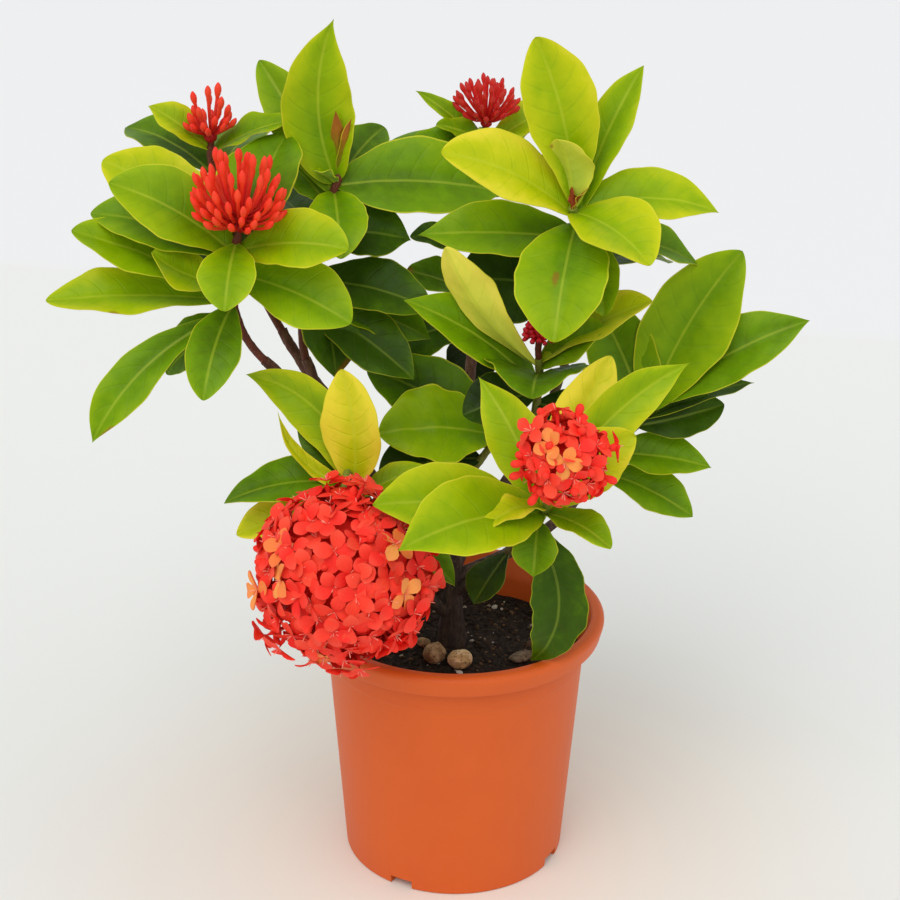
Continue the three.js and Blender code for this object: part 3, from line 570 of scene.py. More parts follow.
def make_piece(name, skins, finishes, crease):
    """One closed mesh from the skins, sharp where it bends by more than the crease angle.
    It rides on the root body and stands for the node that it is named after."""
    mesh = make_mesh(name, skins)
    kinds = ([len(skin.quads) * [skin.finish] for skin in skins]
             + [len(skin.triangles) * [skin.finish] for skin in skins])
    mesh.polygons.foreach_set("material_index", np.concatenate(kinds).astype(np.int32))
    for key in {key for skin in skins for key in skin.values}:
        blank = [np.zeros((len(skin.corners), 3)) for skin in skins]
        values = np.concatenate([skin.values.get(key, none) for skin, none in zip(skins, blank)])
        layer = mesh.attributes.new(key, "FLOAT_VECTOR", "POINT")
        layer.data.foreach_set("vector", values.astype(np.float32).ravel())
    for finish in finishes:
        mesh.materials.append(finish)
    mesh.update()
    mesh.shade_smooth()
    mesh.set_sharp_from_angle(angle=math.radians(crease))
    piece = add_object("dressed_" + name, mesh)
    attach(piece, "root")
    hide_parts(name)
    return piece


# ---------------------------------------------------------------- finishes

class Wire:
    """The output of a shader node. Python's arithmetic on it adds Math nodes."""

    def __init__(self, finish, socket):
        self.finish = finish
        self.socket = socket

    def math(self, operation, *others):
        return self.finish.node("ShaderNodeMath", {"operation": operation}, [self, *others])

    def __add__(self, other):
        return self.math("ADD", other)

    __radd__ = __add__

    def __sub__(self, other):
        return self.math("SUBTRACT", other)

    def __rsub__(self, other):
        return self * -1 + other

    def __mul__(self, other):
        return self.math("MULTIPLY", other)

    __rmul__ = __mul__

    def __pow__(self, other):
        return self.math("POWER", other)

    def __abs__(self):
        return self.math("ABSOLUTE")

    def fade(self, low, high):
        """0 below low and 1 above high, with a smooth step between."""
        return self.finish.node(
            "ShaderNodeMapRange", {"interpolation_type": "SMOOTHSTEP"},
            {"Value": self, "From Min": low, "From Max": high},
        )


class Finish:
    """A material of one Principled shader, whose patterns are written with wires."""

    def __init__(self, name, **constants):
        self.material = bpy.data.materials.new(name)
        self.material.use_nodes = True
        self.tree = self.material.node_tree
        self.shader = self.tree.nodes["Principled BSDF"]
        self.color = None
        for socket, value in constants.items():
            self.shader.inputs[socket.replace("_", " ")].default_value = value

    def node(self, kind, settings=None, inputs=(), output=0):
        """Any node: its settings are set first, then its sockets by name or number."""
        made = self.tree.nodes.new(kind)
        for key, value in (settings or {}).items():
            if key == "stops":
                self.set_stops(made.color_ramp, value)
            else:
                setattr(made, key, value)
        pairs = inputs.items() if isinstance(inputs, dict) else enumerate(inputs)
        for key, value in pairs:
            self.feed(made.inputs[key], value)
        return Wire(self, made.outputs[output])

    def set_stops(self, ramp, stops):
        """Sets a ramp's stops, each a place and a colour given as 0 to 255."""
        while len(ramp.elements) < len(stops):
            ramp.elements.new(0.5)
        for element, (place, *color) in zip(ramp.elements, stops):
            element.position = place
            element.color = (*paint(*color), 1)

    def feed(self, socket, value):
        if isinstance(value, Wire):
            self.tree.links.new(value.socket, socket)
        elif socket.type == "RGBA":
            socket.default_value = (*value[:3], 1)
        else:
            socket.default_value = value

    def ramp(self, value, *stops):
        return self.node("ShaderNodeValToRGB", {"stops": stops}, [value])

    def blend(self, share, first, second):
        """The first colour where the share is 0 and the second where it is 1."""
        colors = {0: share, 6: first, 7: second}
        return self.node("ShaderNodeMix", {"data_type": "RGBA"}, colors, output=2)

    def coat(self, share, color):
        """Lays a colour over what the surface has so far, as densely as its share."""
        self.color = self.blend(share, self.color, color)

    def split(self, vector):
        """The three numbers of a vector."""
        parts = self.node("ShaderNodeSeparateXYZ", None, [vector]).socket.node
        return [Wire(self, socket) for socket in parts.outputs]

    def values(self, name):
        """The three numbers that a skin holds under a name."""
        return self.split(self.node("ShaderNodeAttribute", {"attribute_name": name}, output=1))

    def place(self):
        """The place on the object, in metres."""
        return self.node("ShaderNodeTexCoord", output=3)

    def noise(self, scale, detail=2.0, rough=0.5, stretch=(1, 1, 1)):
        """Soft noise with a number of lumps to the metre, a little between 0 and 1."""
        place = self.node("ShaderNodeMapping", None, {"Vector": self.place(), "Scale": stretch})
        inputs = {"Vector": place, "Scale": scale, "Detail": detail, "Roughness": rough}
        return self.node("ShaderNodeTexNoise", None, inputs)

    def specks(self, scale):
        """How far the nearest speck of a scatter is, in shares of their spacing."""
        return self.node("ShaderNodeTexVoronoi", None, {"Vector": self.place(), "Scale": scale})

    def wear(self, roughness, relief=None, depth=0.0):
        """Feeds the shader, with a relief so many metres deep, and gives the material."""
        self.feed(self.shader.inputs["Base Color"], self.color)
        self.feed(self.shader.inputs["Roughness"], roughness)
        if relief is not None:
            bump = self.node("ShaderNodeBump", None, {"Distance": depth, "Height": relief})
            self.feed(self.shader.inputs["Normal"], bump)
        return self.material


def plastic_finish(settings):
    """Terracotta-coloured plastic: satin, faintly mottled, with pale scuffs, browner and darker
    towards the bottom, and darkened inside by painted shade."""
    finish = Finish("terracotta_plastic", Specular_IOR_Level=0.32)
    level, inside, _ = finish.values("turned")
    mottle = finish.noise(38, 4, 0.6)
    grain = finish.noise(1500, 2)
    scuff = finish.noise(260, 5, 0.7, (1, 1, 5)).fade(0.62, 0.74)
    finish.color = finish.blend(mottle, settings.shade, settings.plastic)
    finish.coat(scuff * 0.22, paint(236, 170, 130))
    # Painted shade inside the pot: its inner wall and floor are darkened to deep red-brown.
    finish.coat(inside * 0.8, paint(138, 30, 14))
    # Browner and darker towards the bottom of the pot.
    finish.coat((1 - level.fade(0, 0.16)) * 0.25, paint(178, 84, 46))
    return finish.wear(0.42 + 0.14 * mottle + 0.15 * scuff, grain * 0.4 + mottle, 0.00012)


def soil_finish():
    """Potting mix: nearly black peat and bark, with brown, tan and pale grains."""
    finish = Finish("potting_mix", Specular_IOR_Level=0.15)
    kind, seed, _ = finish.values("grain")
    crumb = finish.noise(420, 6, 0.7)
    fine = finish.noise(2600, 3, 0.6)
    peat = finish.ramp(crumb, (0.3, 18, 14, 12), (0.52, 46, 37, 31),
                       (0.7, 90, 72, 58))
    bits = finish.ramp(seed, (0, 36, 28, 23), (0.5, 54, 43, 35),
                       (0.8, 72, 54, 38), (0.95, 128, 100, 72),
                       (0.995, 214, 206, 194))
    finish.color = finish.blend(kind, peat, bits)
    finish.coat(fine.fade(0.6, 0.75) * 0.35, paint(120, 98, 74))
    return finish.wear(0.8 + 0.15 * fine, crumb + 0.5 * fine, 0.0009)


def stone_finish(name, dark, pale):
    """A weathered grain of baked clay or bark: pale skin, dark pores and a fine grit."""
    finish = Finish(name)
    patch = finish.noise(160, 4, 0.6)
    grit = finish.noise(1900, 3, 0.6)
    pores = 1 - finish.specks(620).fade(0.12, 0.3)
    finish.color = finish.blend(patch.fade(0.35, 0.65), dark, pale)
    finish.coat(pores * 0.7, paint(52, 40, 30))
    finish.coat(grit.fade(0.5, 0.8) * 0.4, paint(206, 190, 164))
    return finish.wear(0.82 + 0.1 * grit, patch * 0.5 + grit * 0.4 - pores, 0.0006)


def bark_finish():
    """Grey-brown bark with fine cracks along the limb and pale flecks, and painted shade that
    darkens it to nearly black low down, under the leaves.
    """
    finish = Finish("ixora_bark")
    crack = finish.noise(330, 5, 0.7, (1, 1, 0.22))
    patch = finish.noise(45, 3)
    fleck = finish.noise(700, 2).fade(0.64, 0.72)
    finish.color = finish.ramp(crack, (0.3, 34, 24, 18), (0.5, 84, 62, 48),
                               (0.72, 138, 112, 90))
    finish.coat(patch.fade(0.5, 0.75) * 0.4, paint(112, 104, 92))
    finish.coat(fleck * 0.4, paint(176, 160, 136))
    level = finish.split(finish.place())[2]
    # Painted shade under the leaves: the wood low down is darkened to nearly black.
    finish.coat((1 - level.fade(0.13, 0.21)) * 0.62, paint(22, 14, 12))
    finish.coat(level.fade(0.2, 0.27) * 0.5, paint(112, 52, 40))
    return finish.wear(0.8 + 0.12 * patch, crack, 0.0009)


def stem_finish():
    """A young stem: green where it is soft and red-brown where its skin has set."""
    finish = Finish("ixora_stem", Specular_IOR_Level=0.3)
    down, red, _ = finish.values("stem")
    streak = finish.noise(420, 4, 0.6, (1, 1, 0.3))
    fleck = finish.noise(1100, 2).fade(0.62, 0.7)
    green = finish.ramp(down, (0, 128, 142, 44), (0.6, 92, 96, 40),
                        (1, 82, 70, 46))
    skin = finish.blend(streak, paint(62, 26, 20), paint(132, 62, 40))
    finish.color = finish.blend((red * 1.1 + (streak - 0.5) * 0.8).fade(0.2, 0.8), green, skin)
    finish.coat(fleck * 0.3, paint(190, 160, 120))
    return finish.wear(0.5 + 0.15 * streak, streak, 0.0004)


def leaf_finish(settings):
    """An ixora leaf, from old and dark to young and yellow by its tone: pale midrib and
    side veins, a thin yellow margin, a paler underside, and satin skin."""
    finish = Finish("ixora_leaf", Specular_IOR_Level=0.12)
    along, across, upper = finish.values("blade")
    tone, seed, half = finish.values("growth")
    mark_along, mark_across, mark_size = finish.values("blemish")
    edge = abs(across)
    cloud = finish.noise(26, 3, 0.55)
    mottle = finish.noise(170, 4, 0.6)
    fine = finish.noise(1500, 3, 0.6)

    order = (along - edge * 0.1 - edge * edge * 0.06) * settings.side_veins + seed
    comb = abs(order.math("FRACT") - 0.5)
    vein = comb.fade(0.4, 0.5) * edge.fade(0.02, 0.12) * (1 - edge.fade(0.72, 0.95))
    middle = edge * half
    midrib = (1 - middle.fade(0.018, 0.045)) * (1 - along.fade(0.75, 1) * 0.7)
    beside = (1 - middle.fade(0.05, 0.45)) * (1 - along * 0.6)

    age = tone + (cloud - 0.5) * 0.36 + (mottle - 0.5) * 0.16
    spread = (edge.fade(0.45, 1) * 0.11 - beside * 0.12) * tone.fade(0, 0.7)
    age = age + spread + (along - 0.6) * 0.1 - vein * 0.03
    finish.color = finish.ramp(
        age, (0, 26, 44, 8), (0.2, 58, 88, 4), (0.4, 106, 146, 2),
        (0.6, 146, 176, 2), (0.8, 194, 200, 16), (0.95, 232, 216, 56),
    )
    below = finish.blend(tone.fade(0.7, 0.9), settings.underside, settings.underside_young)
    finish.coat((1 - upper) * (0.62 - 0.3 * tone), below)
    ribs = finish.blend(tone.fade(0, 0.5), paint(120, 146, 60), settings.vein)
    finish.coat(vein * 0.04, ribs)
    finish.coat(midrib * (0.3 + 0.3 * (1 - upper)), ribs)
    young = finish.ramp(along, (0, 110, 134, 20), (0.4, 142, 124, 22),
                        (0.7, 176, 112, 36), (1, 160, 84, 40))
    finish.coat(tone.fade(0.95, 0.98), young)
    finish.coat(tone.fade(1.03, 1.08), paint(150, 66, 34))
    rim = (edge + (mottle - 0.5) * 0.03).fade(0.95, 0.99) * tone.fade(0, 0.35)
    finish.coat(rim * 0.7, settings.margin)
    far = ((along - mark_along) * 1.6) ** 2 + ((across - mark_across) * half) ** 2
    spot = 1 - (far.math("SQRT") + (mottle - 0.5) * 0.16).fade(mark_size * 0.3, mark_size)
    finish.coat(spot * mark_size.fade(0, 0.02) * 0.6, paint(150, 92, 30))
    freckle = finish.noise(620, 2).fade(0.74, 0.8)
    finish.coat(freckle * 0.25, paint(120, 100, 30))

    roughness = 0.4 + 0.16 * (mottle - 0.5) + 0.12 * (1 - upper) + 0.05 * vein
    relief = mottle * 0.3 + fine * 0.1 - vein * 0.22 * upper + vein * 0.1 * (1 - upper)
    return finish.wear(roughness, relief, 0.0005)


def petal_finish(settings):
    """Coral red petals with faint veins, orange where they have aged and deeper at the
    throat, and pale stamens."""
    finish = Finish("ixora_petal", Specular_IOR_Level=0.12)
    along, across, part = finish.values("petal")
    aged, seed, dark = finish.values("bloom")
    cloud = finish.noise(90, 3)
    fine = finish.noise(900, 3, 0.6)
    veins = abs((across * 3.5 + seed).math("FRACT") - 0.5)
    coral = finish.blend(seed * 0.7 + cloud * 0.5 - 0.2, settings.petal_deep, settings.petal)
    orange = finish.blend(seed, paint(250, 140, 66), paint(255, 190, 96))
    finish.color = finish.blend(aged, coral, orange)
    finish.coat(along.fade(0.5, 1.05) * 0.22, paint(255, 120, 92))
    finish.coat((1 - along.fade(0, 0.3)) * 0.25, paint(210, 30, 34))
    finish.coat(veins.fade(0.38, 0.5) * 0.12, paint(190, 24, 30))
    finish.coat(dark, settings.core)
    finish.coat(part.fade(1.5, 2), paint(252, 160, 138))
    return finish.wear(0.5 + 0.1 * fine, fine * 0.4 + veins * 0.4, 0.00025)


def bud_finish():
    """Closed buds: waxy bright red, with painted shade on their tubes towards the knot, and
    dark red with nearly black points while small.
    """
    finish = Finish("ixora_bud", Specular_IOR_Level=0.25)
    along, dark, seed = finish.values("bud")
    fine = finish.noise(800, 3, 0.6)
    # Painted shade among the buds: each tube darkens towards the knot.
    bright = finish.ramp(along, (0, 170, 12, 22), (0.5, 226, 34, 34),
                         (0.8, 255, 66, 34), (1, 248, 48, 36))
    deep = finish.ramp(along, (0, 196, 30, 36), (0.6, 216, 30, 42),
                       (0.88, 200, 30, 46), (1, 96, 12, 26))
    finish.color = finish.blend(dark, bright, deep)
    finish.coat(seed * 0.25 * (1 - dark), paint(255, 112, 60))
    return finish.wear(0.42 + 0.12 * fine, fine, 0.00015)


def floor_finish(settings):
    """A pale matt floor, with a painted warm shadow round the pot, and whiter far behind."""
    finish = Finish("pale_floor", Specular_IOR_Level=0.2)
    x, y, _ = finish.split(finish.place())
    cloud = finish.noise(4, 3)
    far = (y + x * 0.26 + cloud * 0.04).fade(0.94, 1.0)
    near = 1 - ((x * x + y * y).math("SQRT") + (cloud - 0.5) * 0.1).fade(0.06, 0.3)
    finish.color = finish.blend(far, settings.floor, settings.wall)
    # Painted shadow round the pot, warm with light bounced off its plastic.
    finish.coat(near * 0.6, settings.painted_pot_shadow)
    return finish.wear(0.75 + 0.05 * cloud)


# ---------------------------------------------------------------- pot, soil and stones

def rounded(profile, radii, steps=5):
    """A profile with each corner turned into a parabola that starts a radius before it."""
    profile = np.asarray(profile, float)
    middle = profile[1:-1]
    before, after = profile[:-2] - middle, profile[2:] - middle
    reach = np.asarray(radii, float)[:, None]
    start = middle + before * np.minimum(reach / np.linalg.norm(before, axis=1)[:, None], 0.45)
    end = middle + after * np.minimum(reach / np.linalg.norm(after, axis=1)[:, None], 0.45)
    t = np.linspace(0, 1, steps)[None, :, None]
    bends = (
        (1 - t) ** 2 * start[:, None] + 2 * t * (1 - t) * middle[:, None] + t * t * end[:, None]
    )
    return np.concatenate([profile[:1], bends.reshape(-1, 2), profile[-1:]])


def lathe_skin(profile, sides, **values):
    """A profile of radius and level turned about the upright axis. Its first and last
    points are on the axis."""
    upright = np.array([0, 0, 1.0])
    around = circle(np.array([1.0, 0, 0]), np.array([0, 1.0, 0]), sides)
    rings = profile[1:-1, :1, None] * around + profile[1:-1, 1:, None] * upright
    poles = profile[[0, -1], 1:] * upright
    return tube_skin(rings[None], poles[:1], poles[1:], **values)


def box_corners(size, heading, distance):
    """A box whose middle is at a distance from the axis on a heading, long way outward."""
    ring = np.array([(-1, -1), (1, -1), (1, 1), (-1, 1)]) / 2 * size[:2]
    levels = np.array([-0.5, 0.5])[:, None] * size[2]
    flat = np.concatenate([ring + (distance, 0)] * 2).reshape(2, 4, 2)
    box = np.concatenate([flat, np.broadcast_to(levels[..., None], (2, 4, 1))], -1)
    return box @ turning(heading)


def pot_profile():
    """The pot's section from the middle of its underside, round the lip, to its floor."""
    top, wall_top = POT["height"], POT["height"] - POT["lip_height"]
    ring_inner, floor_top = POT["base"] - POT["ring"], POT["lift"] + POT["floor"]
    step, band = POT["lip_step"], POT["body_top"] - 1.0
    corners = [
        (0, 0), (POT["pad"], 0), (POT["pad"] + POT["lift"], POT["lift"]),
        (ring_inner, POT["lift"]), (ring_inner, 0), (POT["base"], 0),
        *((band + out, wall_top - down) for out, down in WALL_STEP), (POT["body_top"], wall_top),
        (POT["rim"] - step, wall_top), (POT["rim"], top - step), (POT["rim"] - step, top),
        (POT["lip_inner"], top), (POT["body_top"] - POT["wall"], wall_top),
        (POT["base"] - POT["wall"], floor_top), (0, floor_top),
    ]
    bends = [0.8, 0.8, 0.8, 0.8, 0.8, 0.5, 0.5, 0.8, 1.3, 1.6, 1.6, 1.0, 2.0, 1.6]
    return rounded(corners, bends)


def cut_out(piece, skins):
    """Takes closed skins out of a piece with a Boolean modifier, which is then applied."""
    mesh = make_mesh("cutter", skins)
    cutter = add_object("cutter", mesh)
    modifier = piece.modifiers.new("openings", "BOOLEAN")
    modifier.operation = "DIFFERENCE"
    modifier.object = cutter
    graph = bpy.context.evaluated_depsgraph_get()
    made = bpy.data.meshes.new_from_object(piece.evaluated_get(graph))
    piece.modifiers.clear()
    old = piece.data
    piece.data = made
    bpy.data.meshes.remove(old)
    bpy.data.objects.remove(cutter)
    bpy.data.meshes.remove(mesh)
    made.set_sharp_from_angle(angle=math.radians(POT_CREASE))


def make_pot(settings):
    """The turned pot, less its foot notches and drain holes."""
    profile = pot_profile()
    ring = profile[1:-1]
    floor_top = POT["lift"] + POT["floor"]
    inside = int(np.argmax(ring[:, 1])) + LIP_POINTS
    inner = (np.arange(len(ring)) > inside) & (ring[:, 1] > 0)
    turned = np.stack([ring[:, 1] / POT["height"], inner, inner * 0], -1)
    skin = lathe_skin(profile, POT_SIDES, turned=turned[None, :, None, :])
    piece = make_piece("pot", [skin], [plastic_finish(settings)], POT_CREASE)
    headings = np.radians(POT["first_notch"] + 360 / POT["notches"] * np.arange(POT["notches"]))
    size = (2 * POT["ring"], POT["notch_width"], 2 * POT["lift"])
    distance = POT["base"] - POT["ring"] / 2
    cutters = []
    for heading in headings:
        box = box_corners(size, heading, distance)[None]
        cutters.append(tube_skin(box, box[:, 0].mean(axis=1), box[:, 1].mean(axis=1)))
        foot = np.array([math.cos(heading), math.sin(heading), 0]) * POT["drain_distance"]
        line = foot + np.array([[0, 0, -1], [0, 0, 2 * floor_top]])
        cutters.append(limb_skin(line, POT["drain"], 32))
    cut_out(piece, cutters)


def soil_lumps(x, y):
    """The soil's height over its level: ripples of two sizes, a mound at the trunk, and a
    dip along the wall."""
    place = np.stack([x, y, x * 0], -1)
    away = np.hypot(x - TRUNK_X, y)
    return (
        0.55 * ripples(place, 24, 31) + 0.35 * ripples(place, 9, 32)
        + 1.1 * np.exp(-((away / 16) ** 2)) - 0.9 * fade(52, 62, np.hypot(x, y))
    )


def soil_skins(settings):
    """A lumpy disc that fills the pot, and the loose grains that lie on it."""
    wall = POT["body_top"] - POT["wall"] - TOP_CLEARANCE
    bottom_radius = POT["base"] - POT["wall"] - FOOT_CLEARANCE
    radius = np.concatenate([[bottom_radius, wall - 0.4], np.linspace(wall, 1.5, 46)])
    angle = np.linspace(0, 2 * math.pi, 120, endpoint=False)
    x, y = radius[:, None] * np.cos(angle), radius[:, None] * np.sin(angle)
    level = SOIL_LEVEL + soil_lumps(x, y)
    level[0] = POT["lift"] + POT["floor"] + REST_GAP
    level[1] = SOIL_LEVEL - 2
    rings = np.stack([x, y, level], -1)[None]
    poles = np.array([[0, 0, level[0, 0]], [0, 0, level[-1].mean()]])
    bed = tube_skin(rings, poles[:1], poles[1:], grain=np.zeros(3))

    draw = np.random.default_rng(41)
    count = settings.grains
    distance = GRAIN_SPREAD * np.sqrt(draw.uniform(0.01, 1, count))
    heading = draw.uniform(0, 2 * math.pi, count)
    x, y = distance * np.cos(heading), distance * np.sin(heading)
    size = draw.gamma(2.2, 0.26, count) + 0.4
    size[:COARSE_GRAINS] = draw.uniform(1.6, 2.4, COARSE_GRAINS)
    middle = np.stack([x, y, SOIL_LEVEL + soil_lumps(x, y) + size * 0.1], -1)
    return [bed, grain_skin(middle, size, draw)]


def grain_skin(middle, size, draw):
    """Small lumps: balls of 4 rings by 6 sides, squashed and knocked out of round."""
    count, rings, sides = len(middle), 4, 6
    knock = draw.uniform(0.75, 1.2, (count, rings, sides, 1))
    squash = np.stack([draw.uniform(0.7, 1.5, count), draw.uniform(0.6, 1.0, count),
                       draw.uniform(0.45, 0.8, count)], -1)
    squash = squash * size[:, None]
    heading = draw.uniform(0, math.pi, count)
    body = ball(rings, sides, 0.72) * knock * squash[:, None, None] @ turning(heading)[:, None]
    poles = squash[:, 2:] * np.array([0, 0, 0.95])
    seed = draw.uniform(0, 1, count)[:, None, None]
    grain = np.concatenate([seed * 0 + 1, seed, seed * 0], -1)[:, None]
    return tube_skin(middle[:, None, None] + body, middle - poles, middle + poles, grain=grain)


def stone_skin(stone, seed):
    """A ball squeezed to the stone's size, made uneven by ripples, with round pits and a
    flat underside."""
    round_body = ball(30, 44, 0.97)
    draw = np.random.default_rng(seed)
    dent = 0.07 * ripples(round_body, 1.3, seed) - 0.05
    dent = dent + 0.02 * ripples(round_body, 0.35, seed + 1)
    for _ in range(stone["pits"]):
        toward = unit(np.array([draw.uniform(-0.5, 0.9), -1, draw.uniform(0, 0.7)]))
        away = ((round_body - toward) ** 2).sum(axis=-1)
        dent = dent - PIT_DEPTH * np.exp(-away / PIT_SPREAD)
    body = np.clip(round_body * (1 + dent)[..., None], -1, 1) * 0.5
    body[..., 2] = np.maximum(body[..., 2] + 0.5, STONE_FLAT) - STONE_FLAT
    foot = np.array([*stone["place"], SOIL_LEVEL + REST_GAP])
    body = (body * stone["size"]) @ turning(math.radians(stone["turn"])) + foot
    return closed_rings(body)


# ---------------------------------------------------------------- wood and leaves

def branch_line(shoot, count=26):
    """A branch from the trunk, with a little sag, to its shoot's foot and in line with it."""
    stem = stem_line(shoot)
    foot, down = stem[-1], unit(stem[-1] - stem[-2])
    start, lead = np.array(shoot["start"], float), foot + down * BRANCH_LEAD
    sagging = (start + lead) / 2
    sagging[2] -= BRANCH_SAG * np.linalg.norm(start - lead)
    return spline([start, sagging, lead, foot - down * 1.5], count)


def wood_skins():
    """A flared trunk, its upper part, and the branches, which taper towards the shoots."""
    foot = np.array([(TRUNK_X, 0, z) for z in np.linspace(TRUNK_FOOT, 134, 30)], float)
    flare = FLARE * np.exp(-(((foot[:, 2] - SOIL_LEVEL) / FLARE_REACH) ** 2))
    trunk = spline([(TRUNK_X, 0, 128), (TRUNK_X, 0, 151), FORK, (1.5, 1.2, 172)], 20)
    skins = [
        limb_skin(foot, TRUNK_RADIUS + flare, TRUNK_SIDES, roughness=0.5, seed=2),
        limb_skin(trunk, np.linspace(5.5, 4.4, len(trunk)), TRUNK_SIDES, roughness=0.5, seed=3),
    ]
    for seed, shoot in enumerate(SHOOTS.values(), 10):
        line = branch_line(shoot)
        radii = np.linspace(*BRANCH_RADII, len(line))
        skins.append(limb_skin(line, radii, LIMB_SIDES, roughness=0.3, seed=seed))
    return skins


def blade_lines(roots, heading, rise, droop, length, t):
    """The midribs at the places t, and the directions across and square to the blades.

    A midrib leaves the stem at the rise angle and bends down evenly by the droop.
    """
    outward = np.stack([np.cos(heading), np.sin(heading), heading * 0], -1)
    across = np.stack([-np.sin(heading), np.cos(heading), heading * 0], -1)
    upright = np.array([0.0, 0.0, 1.0])
    slope = (rise - droop * (t[1:] + t[:-1]) / 2)[..., None]
    steps = (outward * np.cos(slope) + upright * np.sin(slope)) * (np.diff(t) * length)[..., None]
    travel = np.cumsum(steps, axis=1)
    midrib = roots[:, None] + np.concatenate([travel[:, :1] * 0, travel], axis=1)
    slope = (rise - droop * t)[..., None]
    return midrib, across, upright * np.cos(slope) - outward * np.sin(slope)


def blade_outline(t, width, belly, point, settings):
    """A bell along the blades, which is 1 at their bellies, and their half widths.

    The bell is a sine whose middle is moved to the belly. The larger its power, the slimmer
    the blade, and the power grows towards a pointed tip.
    """
    bell = np.sin(math.pi * t ** (math.log(0.5) / np.log(belly)))
    power = BLADE_POWER + 0.5 * t * (1 - t) + (TIP_POWER + point) * t ** 4
    bell = np.clip(bell, 1e-4, 1) ** power
    half = np.maximum(width / 2 * bell, settings.petiole / 2 * (1 - t / PETIOLE_REACH))
    return bell[..., None], half[..., None]


def blade_skin(roots, leaves, settings, seed):
    """Leaf blades on a grid of stations along and columns across.

    Across, each half rises at the fold and levels out to its edge, the edges wave, the
    midrib is a groove above and a rib below, the blade swells between its side veins, and
    soft lumps run over it all.
    """
    stations, columns = 44, 13
    draw = np.random.default_rng(seed)
    names = [leaf[0] for leaf in leaves]
    rows = np.array([leaf[2:] for leaf in leaves], float)
    count = len(rows)
    heading, rise, droop = np.radians(rows[:, :3]).T[..., None]
    length, width, belly = rows[:, 3:6].T[..., None]
    roll = np.radians(rows[:, 6])[:, None, None]
    tone = rows[:, 7, None, None] / 10
    point = np.array([POINTED.get(name, 0) for name in names])[:, None]
    quilt = np.array([CRINKLED.get(name, 1.0) for name in names])[:, None, None]

    # The midribs, and the directions of each blade's half widths and of its height.
    t = 1 - (1 - np.linspace(0, 1, stations + 1)) ** STATION_CROWDING
    midrib, across, normal = blade_lines(roots, heading, rise, droop, length, t)
    tips, midrib, normal, t = midrib[:, -1], midrib[:, :-1], normal[:, :-1], t[:-1]
    side = (across * np.cos(roll) + normal * np.sin(roll))[:, :, None]
    up = (normal * np.cos(roll) - across * np.sin(roll))[:, :, None]
    bell, half = blade_outline(t, width, belly, point, settings)
    t = t[:, None]

    # Once round each station, over the upper face and back under it: s goes from edge to
    # edge as 1 to -1.
    above = np.cos(np.linspace(0, math.pi, columns))
    s = np.concatenate([above, above[::-1]])
    upper = np.repeat([1.0, 0.0], columns)
    size = np.abs(s)

    # The waves of the edges and the frill of the outline.
    phase = draw.uniform(0, 2 * math.pi, (2, count, 1, 1))
    rate = draw.uniform(1.3, 2.4, (count, 1, 1))
    turn = 2 * math.pi * rate * t + np.where(s > 0, phase[0], phase[1])
    wave = settings.wave * draw.uniform(0.5, 1.3, (count, 1, 1)) * bell
    frill = np.sin(turn * 1.3 + 1) + 0.6 * np.sin(turn * 3.1)
    half = half * (1 - settings.frill * size * (0.8 - frill * np.minimum(quilt, 2)))

    # The swells between the side veins, the soft lumps, and the height of it all.
    vein_seed = draw.uniform(0, 1, (count, 1, 1))
    order = (t - size * 0.1 - size * size * 0.06) * settings.side_veins + vein_seed
    puff = 0.5 - 0.5 * np.cos(2 * math.pi * order)
    swell = np.sqrt(np.clip(4 * size * (1 - size), 0, 1))
    apart = np.arange(count)[:, None, None] * BLADES_APART
    flat = np.stack(np.broadcast_arrays(t * length[..., None], s * half, apart), -1)
    lumps = ripples(flat, 17, 5) + 0.5 * ripples(flat, 7, 6)
    near = np.exp(-((s * half / MIDRIB_REACH) ** 2))
    lift = (
        half * math.sin(FOLD) * size * (1.35 - 0.35 * size) + wave * size ** 2 * np.sin(turn)
        + SWELL * quilt * puff * swell * bell + settings.lumps * quilt * bell * lumps
        - upper * GROOVE * near
    )
    lift = lift - (1 - upper) * (settings.blade * (1 - 0.5 * size ** 2) + RIB * near * (1 - t))
    out = s * half * math.cos(FOLD)
    rings = midrib[:, :, None] + side * out[..., None] + up * lift[..., None]

    # What the leaf's finish reads.
    blade = [np.broadcast_to(value, lift.shape) for value in (t, s, upper)]
    growth = np.broadcast_arrays(tone, vein_seed, half / FINISH_UNIT)
    marks = np.array([BLEMISHES.get(name, (0, 0, 0)) for name in names], float)
    marks[:, 2] /= FINISH_UNIT
    return tube_skin(rings, midrib[:, 0], tips, blade=np.stack(blade, -1),
                     growth=np.stack(growth, -1), blemish=marks[:, None, None])


def shoot_skins(name, settings):
    """A shoot's blades, and its stem with a swelling where each leaf leaves it."""
    shoot = SHOOTS[name]
    leaves = LEAVES[name] + SPROUTS.get(name, ())
    line = stem_line(shoot)
    down = distances_down(line)
    joints = np.array([leaf[1] for leaf in leaves], float)
    swelling = np.exp(-(((down[:, None] - joints) / 2.2) ** 2)).max(axis=1)
    share = down / down[-1]
    radii = STEM_RADIUS * (0.86 + 0.12 * share + 0.14 * swelling)
    stem = np.stack([share, share * 0 + shoot["red"], share * 0], -1)[None, :, None]
    seed = sum(map(ord, name))
    return [
        blade_skin(points_down(line, joints), leaves, settings, seed),
        limb_skin(line, radii, LIMB_SIDES, STEM_FINISH, 0.12, seed, stem=stem),
    ]


# ---------------------------------------------------------------- flower heads

PETAL_STATIONS = (0.03, 0.25, 0.5, 0.72, 0.88, 0.97)


